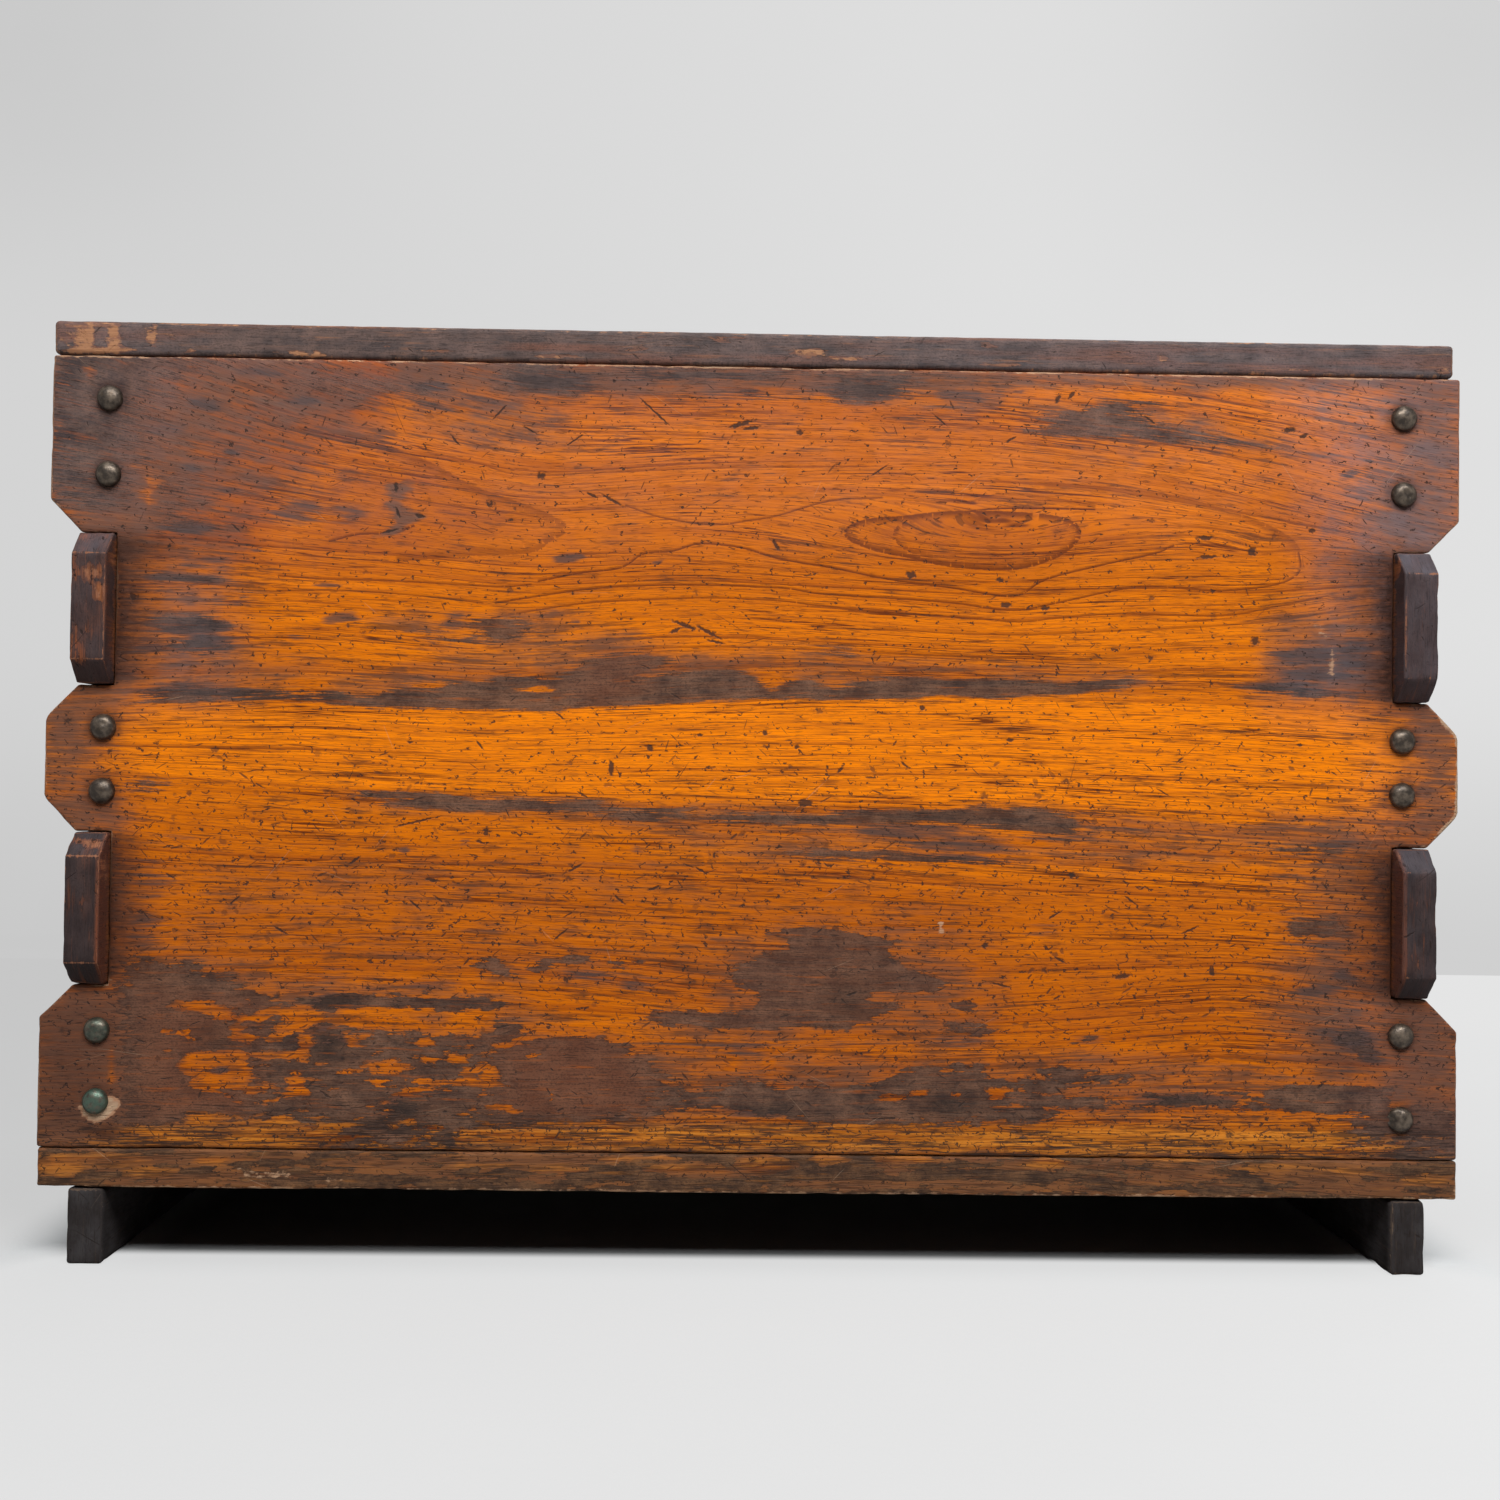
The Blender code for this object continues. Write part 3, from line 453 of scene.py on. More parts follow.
# Pale rubbed or chipped places: strength, softness, outline.
PALE_AREAS = (
    (1.00, 2, ((78, 1106), (80, 1114), (87, 1121), (96, 1124), (107, 1119), (118, 1110), (119, 1102),
               (116, 1096), (108, 1094), (100, 1100), (88, 1104))),
    (0.50, 2, ((115, 548), (119, 548), (119, 684), (116, 684))),
    (0.50, 2, ((112, 836), (116, 836), (114, 982), (110, 982))),
    (0.60, 3, ((1309, 626), (1319, 619), (1328, 630), (1331, 642), (1322, 637))),
    (0.66, 3, ((1326, 638), (1333, 644), (1335, 668), (1337, 674), (1331, 680), (1325, 674), (1328, 652))),
    (0.75, 3, ((936, 921), (944, 920), (946, 933), (938, 935))),
    (0.58, 3, ((232, 1170), (240, 1166), (262, 1172), (280, 1169), (298, 1174), (280, 1180),
               (244, 1179))),
    (0.52, 3, ((320, 1176), (352, 1175), (346, 1182), (322, 1182))),
)
# Faint runs down the face: place, half width, top, bottom, strength.
FAINT_RUNS = ((376, 12, 640, 1120, 0.16), (1285, 5, 528, 580, 0.22), (322, 6, 930, 1110, 0.10))
# Dents and scratches: place, half length, half width, turn in degrees.
MARKS = (
    (742, 424, 15, 2.6, -16), (752, 428, 9, 2.0, -10), (655, 412, 24, 1.2, 42),
    (612, 500, 14, 1.8, 28), (592, 495, 6, 1.6, 24), (684, 625, 14, 2.2, 20),
    (708, 632, 16, 2.0, 28), (676, 630, 8, 2.0, -30), (716, 642, 9, 1.6, 12),
    (800, 433, 4, 3.2, 0), (541, 476, 5, 4.5, 0), (911, 575, 6, 4.0, 10), (776, 545, 7, 2.5, 60),
    (650, 748, 5, 3.6, 30), (611, 768, 3, 9.0, 0), (805, 803, 8, 5.0, -10), (1255, 641, 5, 4.5, 0),
    (1122, 976, 10, 3.2, -8), (1212, 972, 3, 6.0, 0), (1072, 875, 4, 3.4, 0), (985, 945, 4, 3.0, 0),
    (765, 733, 3, 2.6, 0), (797, 747, 3, 2.4, 0), (922, 708, 3, 2.4, 0), (1290, 430, 7, 3.0, -12),
    (1304, 436, 5, 2.2, -20), (1058, 399, 6, 2.4, -60), (1072, 395, 6, 2.0, -50),
    (500, 412, 10, 1.2, -48), (530, 430, 9, 1.1, 30), (575, 440, 12, 1.0, -35),
    (455, 440, 8, 1.2, 50), (880, 470, 10, 1.0, -35), (940, 420, 9, 1.0, 40),
    (1010, 440, 7, 1.2, -30), (1150, 420, 8, 1.0, 35), (1205, 538, 10, 2.6, 0),
    (1208, 557, 12, 2.2, -6), (1252, 552, 5, 6.0, 20), (1312, 531, 4, 3.0, 0),
    (1000, 580, 4, 3.0, 0), (1006, 605, 7, 2.8, 0), (1045, 608, 5, 2.6, 0), (415, 822, 24, 1.2, -14),
    (396, 487, 5, 2.4, 80), (398, 513, 6, 1.6, 70), (420, 516, 6, 1.8, 8), (390, 531, 9, 1.4, -14),
    (560, 716, 6, 1.4, 40), (1268, 1157, 24, 2.2, 0), (170, 876, 6, 1.4, 30), (235, 900, 8, 1.2, -40),
    (415, 905, 9, 1.2, 40), (432, 880, 8, 1.6, 10), (575, 868, 10, 1.3, -30), (620, 900, 7, 1.5, 40),
    (655, 888, 8, 1.6, -20), (700, 870, 6, 1.4, 30), (1055, 915, 9, 1.3, -30),
    (1130, 900, 8, 1.2, 35), (1190, 930, 10, 1.2, -25), (1000, 985, 12, 1.3, 12),
    (1060, 960, 8, 1.2, 30), (560, 935, 12, 1.0, -40), (480, 842, 6, 1.6, 20),
    (355, 860, 7, 1.3, -35), (280, 930, 8, 1.2, 30), (840, 770, 5, 1.4, -40), (905, 765, 6, 1.2, 40),
    (700, 735, 4, 1.6, 0), (480, 745, 6, 1.2, 50), (410, 742, 4, 1.6, 0), (1010, 740, 4, 1.8, 0),
    (1180, 760, 5, 1.2, -40), (1300, 745, 4, 1.6, 0),
)
# The worn left end of the lid and other rubbed places of its edge, as places, half lengths,
# half heights and strengths.
LID_RUBBED = (
    (84, 337, 14, 13, 0.9), (114, 338, 9, 14, 0.9), (100, 350, 40, 3, 1.0), (152, 334, 6, 11, 0.8),
    (64, 337, 7, 8, 0.6), (93, 325, 32, 3, 0.7), (172, 336, 5, 4, 0.6), (186, 344, 5, 3, 0.5),
    (192, 350, 4, 2, 0.8), (300, 354, 10, 2, 1.0), (318, 354, 6, 3, 1.0),
    (340, 327, 60, 2, 0.6), (430, 352, 30, 2, 0.6), (560, 356, 26, 2, 0.7), (640, 349, 20, 3, 0.5),
    (810, 353, 22, 4, 0.8), (846, 359, 22, 2, 0.8), (880, 350, 12, 2, 0.6), (720, 339, 40, 2, 0.5),
    (1000, 364, 22, 2, 0.7), (1105, 360, 14, 2, 0.6), (1162, 358, 5, 3, 0.8), (1300, 369, 20, 2, 0.7),
    (1396, 351, 22, 2, 0.6), (1443, 371, 7, 4, 0.7), (980, 344, 30, 2, 0.5), (1220, 350, 40, 2, 0.4),
)
# Rubbed places of the tenons: place, half length, half height.
TENON_RUBBED = ((90, 572, 11, 10), (97, 590, 6, 9), (112, 560, 5, 6), (1399, 568, 3, 9),
                (1400, 862, 3, 9), (104, 872, 4, 20), (92, 843, 15, 5))
# Rubbed places of the bottom's front edge: place, half length, half height.
BOTTOM_RUBBED = ((58, 1166, 26, 11), (110, 1160, 40, 7), (150, 1172, 30, 5), (210, 1160, 22, 4),
                 (480, 1165, 30, 4), (560, 1170, 30, 4), (640, 1159, 50, 3), (690, 1169, 46, 4),
                 (765, 1165, 30, 9), (830, 1160, 24, 5), (900, 1158, 30, 4), (1045, 1163, 26, 5),
                 (1170, 1158, 50, 5), (1285, 1167, 45, 5), (1340, 1172, 30, 4), (1425, 1180, 24, 6))

# Numbers in space.

HASH_DIRECTION = np.array((127.1, 311.7, 74.7))
HASH_SCALE = 43758.5453
SEED_SHIFT = 17.13


def hashed(cells):
    """One fixed number from 0 to 1 for each whole-numbered cell."""
    return np.modf(np.abs(np.sin(cells @ HASH_DIRECTION) * HASH_SCALE))[0]


def smooth(share):
    """A share from 0 to 1, with a soft start and end."""
    return share * share * (3 - 2 * share)


def rise(value, low, high):
    """A smooth step from 0 at low to 1 at high."""
    return smooth(np.clip((value - low) / (high - low), 0, 1))


def lumps(points, size, seed):
    """Smooth random values from 0 to 1, in lumps of one size, or of a size for each axis."""
    place = points / np.array(size) + seed * SEED_SHIFT
    cell = np.floor(place)
    part = smooth(place - cell)
    total = np.zeros(len(points))
    for corner in np.ndindex(2, 2, 2):
        weight = np.prod(np.where(np.array(corner) == 1, part, 1 - part), axis=1)
        total += weight * hashed(cell + np.array(corner))
    return total


def rough_lumps(points, size, seed, octaves=3):
    """Lumps with finer lumps on them, from 0 to 1."""
    weights = [0.5 ** octave for octave in range(octaves)]
    total = sum(weight * lumps(points, np.array(size) * weight, seed + octave)
                for octave, weight in enumerate(weights))
    return total / sum(weights)


def depth_inside(x, y, outline):
    """Distance from a closed outline, positive inside it."""
    nearest = np.full(np.shape(x), np.inf)
    inside = np.zeros(np.shape(x), bool)
    for (ax, ay), (bx, by) in zip(outline, outline[1:] + outline[:1]):
        ex, ey = bx - ax, by - ay
        t = np.clip(((x - ax) * ex + (y - ay) * ey) / (ex * ex + ey * ey), 0, 1)
        nearest = np.minimum(nearest, np.hypot(x - ax - t * ex, y - ay - t * ey))
        if ey:
            inside ^= ((ay > y) != (by > y)) & (x < ax + (y - ay) * ex / ey)
    return np.where(inside, nearest, -nearest)


def painted(x, y, areas, softer=1.0, stretch=1.0):
    """The strongest cover of a list of areas, whose edges are softer along x by a stretch."""
    cover = np.zeros(len(x))
    x = x / stretch
    for strength, soft, outline in areas:
        soft = soft * softer
        outline = [(px / stretch, py) for px, py in outline]
        (left, top), (right, bottom) = np.min(outline, axis=0), np.max(outline, axis=0)
        near = (x > left - soft) & (x < right + soft) & (y > top - soft) & (y < bottom + soft)
        depth = depth_inside(x[near], y[near], outline)
        cover[near] = np.maximum(cover[near], strength * rise(depth, -soft, soft))
    return cover


def spotted(x, y, spots, full=0.7, none=1.3):
    """Cover of soft ellipses, from full to none at these shares of their reach.

    A spot is its place, half length and half height, and its strength where it isn't 1.
    """
    cover = np.zeros(len(x))
    for px, py, half_length, half_height, *strength in spots:
        reach = np.hypot((x - px) / half_length, (y - py) / half_height)
        cover = np.maximum(cover, math.prod(strength) * (1 - rise(reach, full, none)))
    return cover


def grain_rings(x, y):
    """Which ring of the tree each place of the front board shows, in pixels."""
    span = np.arange(0.0, IMAGE_SIZE)
    soft = np.ones(GRAIN_SMOOTHING) / GRAIN_SMOOTHING
    column = np.clip(x, *GRAIN_ENDS)
    heights = []
    for points in GRAIN_LEVELS.values():
        line = np.interp(span, *zip(*points))
        for _ in range(2):
            line = np.convolve(np.pad(line, GRAIN_SMOOTHING // 2, mode="edge"), soft, "valid")
        heights.append(np.interp(column, span, line))
    levels = list(GRAIN_LEVELS)
    rings = levels[0] + (y - heights[0])
    for low, high, below, above in zip(levels, levels[1:], heights, heights[1:]):
        part = (y - below) / (above - below)
        rings = np.where(part > 0, low + (high - low) * part, rings)
    for ex, ey, half_length, half_height, push in GRAIN_EYES:
        rings = rings + push * np.exp(-((x - ex) / half_length) ** 2 - ((y - ey) / half_height) ** 2)
    return rings


# Meshes.

STRIP_CELLS = 4                 # the cells of a plain face that make one strip
ARRIS_ANGLE = 0.6               # edges that turn more than this, in radians, are arrises
SHARP_ANGLE = math.radians(50)
TIP_NORMAL = 0.6                # faces that look this much along the grain show end grain
CORNER_REACH = 2.5              # how far from a corner its rounding looks, in radii
WAVE_SIZE, NOTCH_SIZE, DENT_SIZE = 0.09, 0.016, 0.006
SLIM = 1e-7                     # distances below this are none
FACE_MARGIN = 1e-5              # points this near to a face lie in it
ARRIS_MARGIN = 1.15             # the least outer step of a lattice, in widths of its arris
STROKE_LIMIT = 6.0              # faces further than this from every stroke have none
STROKE_MARGIN = 0.002
STROKE_REACH = 1.3              # how far along a stroke its faces are looked for, in half lengths
NO_STROKE = (9.0, 9.0, 0.0)


def ruled(*spans):
    """Lines over neighbouring spans, each given by its ends and a number of steps."""
    lines = [spans[0][0]]
    for start, end, steps in spans:
        lines += [start + (end - start) * k / steps for k in range(1, steps + 1)]
    return lines


def between(start, end, step):
    """A span with steps of about one length."""
    return start, end, max(1, round(abs(end - start) / step))


def stepped(start, end, step, margin):
    """Lines between two ends, with one step of at least a margin at each end."""
    edge = math.copysign(max(margin, min(step, abs(end - start) / 3)), end - start)
    return ruled((start, start + edge, 1), between(start + edge, end - edge, step),
                 (end - edge, end, 1))


def lattice_cells(us, vs, outline):
    """The cells of a lattice that an outline covers, as lists of node numbers."""
    us, vs = np.array(us), np.array(vs)
    rows = len(vs)

    def depth(part_u, part_v):
        grid = np.meshgrid(us[:-1] + np.diff(us) * part_u, vs[:-1] + np.diff(vs) * part_v,
                           indexing="ij")
        return depth_inside(*grid, outline)

    low, high = 1 / 3, 2 / 3
    low_left, high_right = depth(low, low), depth(high, high)
    high_left, low_right = depth(low, high), depth(high, low)
    rising = (np.abs(low_left) < SLIM) & (np.abs(high_right) < SLIM)
    falling = (np.abs(high_left) < SLIM) & (np.abs(low_right) < SLIM)
    cells = []
    for i, j in np.ndindex(low_left.shape):
        a, b, c, d = i * rows + j, (i + 1) * rows + j, (i + 1) * rows + j + 1, i * rows + j + 1
        if rising[i, j]:
            cells.append((a, c, d) if high_left[i, j] > 0 else (a, b, c))
        elif falling[i, j]:
            cells.append((a, b, d) if low_left[i, j] > 0 else (b, c, d))
        elif low_left[i, j] > 0:
            cells.append((a, b, c, d))
    return cells


def border_of(cells):
    """The steps round some cells, from each node to the next one."""
    steps = set()
    for cell in cells:
        steps.update(zip(cell, cell[1:] + cell[:1]))
    return {p: q for p, q in steps if (q, p) not in steps}


def plain_strips(cells, rows, border):
    """Loops of nodes for a plain face: its outer cells, and short strips of the others."""
    outer = [cell for cell in cells if any(node in border for node in cell)]
    kept = set(border).union(*outer)
    strips = {}
    for cell in set(cells).difference(outer):
        across, along = min(node % rows for node in cell), min(node // rows for node in cell)
        strips.setdefault((across, along // STRIP_CELLS), []).append(cell)
    for place in sorted(strips):
        step = border_of(strips[place])
        while step:
            loop = [min(step)]
            while step[loop[-1]] != loop[0]:
                loop.append(step[loop[-1]])
            for node in loop:
                del step[node]
            outer.append([node for node in loop if node in kept or node // rows % STRIP_CELLS == 0])
    return outer


def values_of(items, name, width=1, kind=float):
    """What Blender holds for each of some things, as an array."""
    flat = np.empty(len(items) * width, kind)
    items.foreach_get(name, flat)
    return flat.reshape(-1, width) if width > 1 else flat


def turned(places, turn):
    """How far places lie along and across a direction."""
    cos, sin = np.cos(turn), np.sin(turn)
    return places[:, 0] * cos + places[:, 1] * sin, places[:, 1] * cos - places[:, 0] * sin


def stand_in(mesh, body, material, node):
    """Show a mesh in place of a node."""
    mesh.materials.append(material)
    thing = bpy.data.objects.new(mesh.name, mesh)
    bpy.context.scene.collection.objects.link(thing)
    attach(thing, body)
    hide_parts(node)


class Board:
    """A board cut to an outline in (u, v), with its thickness along w.

    The face at the first w is a fine lattice, and the face at the last w is plain.
    """

    def __init__(self, name, axes, us, vs, ws, outline, arris, segments=2):
        self.order = ["xyz".index(axis) for axis in axes]
        self.outline = outline
        self.ends = ws[0], ws[-1]
        self.layers = {}
        self.mesh = bpy.data.meshes.new(name)
        self.build(us, vs, ws, arris, segments)
        self.measure()

    def build(self, us, vs, ws, arris, segments):
        bm = bmesh.new()
        rows = len(vs)

        def vertex(node, w):
            point = [0.0] * 3
            for axis, value in zip(self.order, (us[node // rows], vs[node % rows], w)):
                point[axis] = value
            return bm.verts.new(point)

        cells = lattice_cells(us, vs, self.outline)
        border = border_of(cells)
        fine = {node: vertex(node, ws[0]) for node in sorted(set(itertools.chain(*cells)))}
        for cell in cells:
            bm.faces.new([fine[node] for node in cell])
        columns = {node: [fine[node]] + [vertex(node, w) for w in ws[1:]] for node in sorted(border)}
        for node in sorted(border):
            here, there = columns[node], columns[border[node]]
            for k in range(len(ws) - 1):
                bm.faces.new((here[k], there[k], there[k + 1], here[k + 1]))
        plain = {node: column[-1] for node, column in columns.items()}
        for loop in plain_strips(cells, rows, border):
            for node in loop:
                if node not in plain:
                    plain[node] = vertex(node, ws[-1])
            bm.faces.new([plain[node] for node in reversed(loop)])
        bmesh.ops.recalc_face_normals(bm, faces=bm.faces[:])
        arrises = [edge for edge in bm.edges if edge.is_convex
                   and edge.calc_face_angle(0.0) > ARRIS_ANGLE]
        bmesh.ops.bevel(bm, geom=arrises, offset=arris, offset_type="OFFSET", segments=segments,
                        profile=0.5, affect="EDGES", clamp_overlap=False)
        bm.to_mesh(self.mesh)
        bm.free()
        self.mesh.shade_smooth()
        self.mesh.set_sharp_from_angle(angle=SHARP_ANGLE)

    def measure(self):
        """Read the points and normals, and how far each point is from the nearest arris."""
        self.points = values_of(self.mesh.vertices, "co", 3)
        self.normals = values_of(self.mesh.vertex_normals, "vector", 3)
        u, v, w = (self.points[:, axis].copy() for axis in self.order)
        self.w = w
        self.plain = np.abs(w - self.ends[1]) < FACE_MARGIN
        to_side = np.abs(depth_inside(u, v, self.outline))
        to_cap = np.minimum(np.abs(w - self.ends[0]), np.abs(w - self.ends[1]))
        corners = np.array(self.outline)
        to_corner = np.hypot(u[:, None] - corners[:, 0], v[:, None] - corners[:, 1])
        self.to_arris = np.minimum(to_side + to_cap, to_corner.min(axis=1))

    def round_corners(self, radii):
        """Round the convex corners of the outline, each by its own radius."""
        count = len(self.outline)
        area = sum(a[0] * b[1] - b[0] * a[1]
                   for a, b in zip(self.outline, self.outline[1:] + self.outline[:1]))
        place = self.points[:, self.order[:2]]
        for k, radius in enumerate(radii):
            before, corner, after = (np.array(self.outline[(k + i) % count]) for i in (-1, 0, 1))
            back, ahead = before - corner, after - corner
            if (back[0] * ahead[1] - back[1] * ahead[0]) * area > 0:
                continue
            back, ahead = back / np.hypot(*back), ahead / np.hypot(*ahead)
            half = math.acos(np.clip(back @ ahead, -1, 1)) / 2
            inward = (back + ahead) / np.hypot(*(back + ahead))
            middle = corner + inward * radius / math.sin(half)
            out = place - middle
            far = np.hypot(*out.T)
            aim = -(out @ inward) / np.maximum(far, SLIM)
            outside = (far > radius) & (aim > math.sin(half)) & (
                np.hypot(*(place - corner).T) < CORNER_REACH * radius)
            place[outside] = middle + out[outside] * (radius / far[outside])[:, None]
        self.points[:, self.order[:2]] = place

    def weather(self, seed, wave=0.0003, chip=0.0010, reach=0.004):
        """Sink the faces a little in waves and chip the arrises, always inwards."""
        waves = wave * lumps(self.points, WAVE_SIZE, seed)
        notch = rise(rough_lumps(self.points, NOTCH_SIZE, seed + 5), 0.5, 0.8)
        dent = rise(rough_lumps(self.points, DENT_SIZE, seed + 9), 0.45, 0.8)
        sunk = waves + chip * (1 - rise(self.to_arris, 0, reach)) * (0.7 * notch + 0.3 * dent)
        sunk[self.plain] = 0
        self.points = self.points - self.normals * sunk[:, None]
        self.mesh.vertices.foreach_set("co", self.points.ravel())
        self.mesh.update()

    def store(self, name, *parts):
        """Keep three values for each point, for a material to read."""
        columns = [np.broadcast_to(np.asarray(part, float), len(self.points)) for part in parts]
        self.layers[name] = np.stack(columns, axis=1)

    def change(self, name, where, *parts):
        """Keep other values at some places. None leaves what is there."""
        for column, part in enumerate(parts):
            if part is not None:
                self.layers[name][where, column] = np.broadcast_to(part, len(self.points))[where]

    def write(self, name, domain, table):
        layer = self.mesh.attributes.new(name, "FLOAT_VECTOR", domain)
        layer.data.foreach_set("vector", table.astype(np.float32).ravel())

    def score(self, name, strokes):
        """Give each corner its place in the frame of the stroke that is nearest to its face.

        A stroke is its place on the sheet, half length, half width, turn, and depth: below
        nothing for a pale one. Places are in half lengths and half widths of the stroke.
        """
        starts = values_of(self.mesh.polygons, "loop_start", kind=np.int32)
        totals = values_of(self.mesh.polygons, "loop_total", kind=np.int32)
        corners = values_of(self.mesh.loops, "vertex_index", kind=np.int32)
        at = self.layers["sheet"][corners, :2]
        middles = np.add.reduceat(at, starts, axis=0) / totals[:, None]
        order = np.argsort(middles[:, 0])
        sorted_s = middles[order, 0]
        strokes = np.array(strokes)
        nearest = np.full(len(starts), STROKE_LIMIT)
        owner = np.full(len(starts), -1)
        for index, (s, t, half_length, half_width, turn, _) in enumerate(strokes):
            reach = STROKE_REACH * half_length + 2 * STROKE_MARGIN
            first, last = np.searchsorted(sorted_s, (s - reach, s + reach))
            faces = order[first:last]
            along, across = turned(middles[faces] - (s, t), turn)
            far = np.hypot(along / (half_length + STROKE_MARGIN), across / (half_width + STROKE_MARGIN))
            better = far < nearest[faces]
            nearest[faces[better]] = far[better]
            owner[faces[better]] = index
        owner[np.logical_and.reduceat(self.plain[corners], starts)] = -1
        owner = np.repeat(owner, totals)
        mine = strokes[owner]
        along, across = turned(at - mine[:, :2], mine[:, 4])
        table = np.stack([along / mine[:, 2], across / mine[:, 3], mine[:, 5]], axis=1)
        table[owner < 0] = NO_STROKE
        self.write(name, "CORNER", table)

    def show(self, body, slot, material, node):
        for name, table in self.layers.items():
            self.write(name, "POINT", table)
        stand_in(self.mesh, body, material, node)


def random_strokes(rng, area, count, length, width, spread, depth=1.0):
    """Strokes strewn over an area of a sheet (s, t, s, t), with sizes from small to large."""
    s = rng.uniform(area[0], area[2], count)
    t = rng.uniform(area[1], area[3], count)
    half_length = length[0] + (length[1] - length[0]) * rng.random(count) ** 2
    half_width = width[0] + (width[1] - width[0]) * rng.random(count) ** 2
    turn = rng.uniform(-spread, spread, count)
    return np.stack([s, t, half_length, half_width, turn, depth * rng.uniform(0.55, 1.0, count)], axis=1)


# Materials.

STROKE_WOBBLE = (0.9, 1.7, 0.0)
DENT_WOBBLE = (0.55, 0.40, 0.0)
VEIN_WOBBLE = (0.0, 0.35, 0.0)


class Value:
    """What a node gives, with the arithmetic that makes further nodes."""

    def __init__(self, graph, socket):
        self.graph = graph
        self.socket = socket

    def __add__(self, other):
        return self.graph.math("ADD", self, other)

    def __sub__(self, other):
        return self.graph.math("SUBTRACT", self, other)

    def __rsub__(self, other):
        return self.graph.math("SUBTRACT", other, self)

    def __mul__(self, other):
        return self.graph.math("MULTIPLY", self, other)

    def __abs__(self):
        return self.graph.math("ABSOLUTE", self)

    __radd__ = __add__
    __rmul__ = __mul__


class Graph:
    """The nodes of a material or a world."""

    def __init__(self, owner):
        owner.use_nodes = True
        self.owner = owner
        self.tree = owner.node_tree
        self.shader = self.tree.nodes.get("Principled BSDF")

    def fill(self, node, inputs):
        """Link or set the inputs of a node."""
        for key, value in inputs.items():
            if isinstance(value, Value):
                self.tree.links.new(value.socket, node.inputs[key])
            else:
                node.inputs[key].default_value = value

    def node(self, kind, inputs, **settings):
        """The outputs of a new node."""
        made = self.tree.nodes.new("ShaderNode" + kind)
        for key, value in settings.items():
            setattr(made, key, value)
        self.fill(made, inputs)
        return made.outputs

    def value(self, kind, inputs, output=0, **settings):
        """One output of a new node."""
        return Value(self, self.node(kind, inputs, **settings)[output])

    def math(self, operation, a, b=0.0):
        return self.value("Math", {0: a, 1: b}, operation=operation)

    def most(self, first, *others):
        """The largest of some values."""
        for other in others:
            first = self.math("MAXIMUM", first, other)
        return first

    def vector(self, operation, a, b=(0, 0, 0), c=(0, 0, 0)):
        output = "Value" if operation == "LENGTH" else "Vector"
        return self.value("VectorMath", {0: a, 1: b, 2: c}, output, operation=operation)

    def step(self, value, low, high, to_low=0.0, to_high=1.0):
        """A smooth step between two results."""
        return self.value("MapRange", {0: value, 1: low, 2: high, 3: to_low, 4: to_high},
                          interpolation_type="SMOOTHSTEP")

    def mix(self, share, a, b):
        """One colour, and a share from 0 to 1 of another."""
        a, b = (part + (1.0,) if isinstance(part, tuple) else part for part in (a, b))
        return self.value("Mix", {0: share, 6: a, 7: b}, 2, data_type="RGBA")

    def noise(self, vector, stretch, seed, detail=3.0, roughness=0.55):
        """Noise in two or three dimensions, over a vector stretched by a factor along each."""
        place = self.vector("MULTIPLY_ADD", vector, (*stretch, 0)[:3], (seed, seed * 1.7, seed * 2.3))
        return self.value("TexNoise", {"Vector": place, "Scale": 1.0, "Detail": detail,
                                       "Roughness": roughness}, "Fac", noise_dimensions=f"{len(stretch)}D")

    def attribute(self, name):
        return self.value("Attribute", {}, "Vector", attribute_name=name)

    def parts(self, vector):
        return [Value(self, part) for part in self.node("SeparateXYZ", {0: vector})]

    def strokes(self, name, wobble):
        """Dark and pale cover of a board's strokes, with uneven edges."""
        stroke = self.vector("MULTIPLY_ADD", wobble, STROKE_WOBBLE, self.attribute(name))
        depth = self.parts(stroke)[2]
        mask = self.step(self.vector("LENGTH", self.vector("MULTIPLY", stroke, (1, 1, 0))), 1.15, 0.60)
        return mask * self.most(depth, 0.0), mask * self.most(depth * -1.0, 0.0)

    def dents(self, vector, stretch, wobble, share, size):
        """Round dark dents, one in some of the cells of a lattice, with soft rims."""
        place = self.vector("MULTIPLY", vector, (stretch, stretch, 0))
        place = self.vector("MULTIPLY_ADD", wobble, DENT_WOBBLE, place)
        cell = self.node("TexVoronoi", {"Vector": place, "Scale": 1.0}, voronoi_dimensions="2D")
        pick, large, strong = self.parts(Value(self, cell["Color"]))
        reach = self.math("DIVIDE", Value(self, cell["Distance"]), self.step(large, 0.0, 1.0, *size))
        chosen = self.math("LESS_THAN", pick, share) * self.step(strong, 0.0, 1.0, 0.35, 1.0)
        return chosen * (self.step(reach, 1.1, 0.6) * 0.75 + self.step(reach, 2.2, 0.9) * 0.25)

    def near_middle(self, noise, none, full):
        """Thin lines where a noise passes its middle value."""
        return self.step(abs(noise - 0.5), none, full)

    def veins(self, wobble):
        """Cover of the lines of the figure, which fade out on their left."""
        along, across, depth = self.parts(
            self.vector("MULTIPLY_ADD", wobble, VEIN_WOBBLE, self.attribute("vein")))
        fade = self.step(across, 1.2, -0.7) * self.step(across, -1.1, -0.85)
        return fade * self.step(abs(along), 1.35, 1.0) * depth

    def finish(self, colour, roughness, height, strength, distance, **shader):
        """Join what was worked out to the shader, and set what is the same all over."""
        bump = self.value("Bump", {"Strength": strength, "Distance": distance, "Height": height})
        self.fill(self.shader, {"Base Color": colour, "Roughness": roughness, "Normal": bump, **shader})
        return self.owner


def swing(noise, amount):
    """A noise that swings about nothing, by an amount in all."""
    return (noise - 0.5) * amount


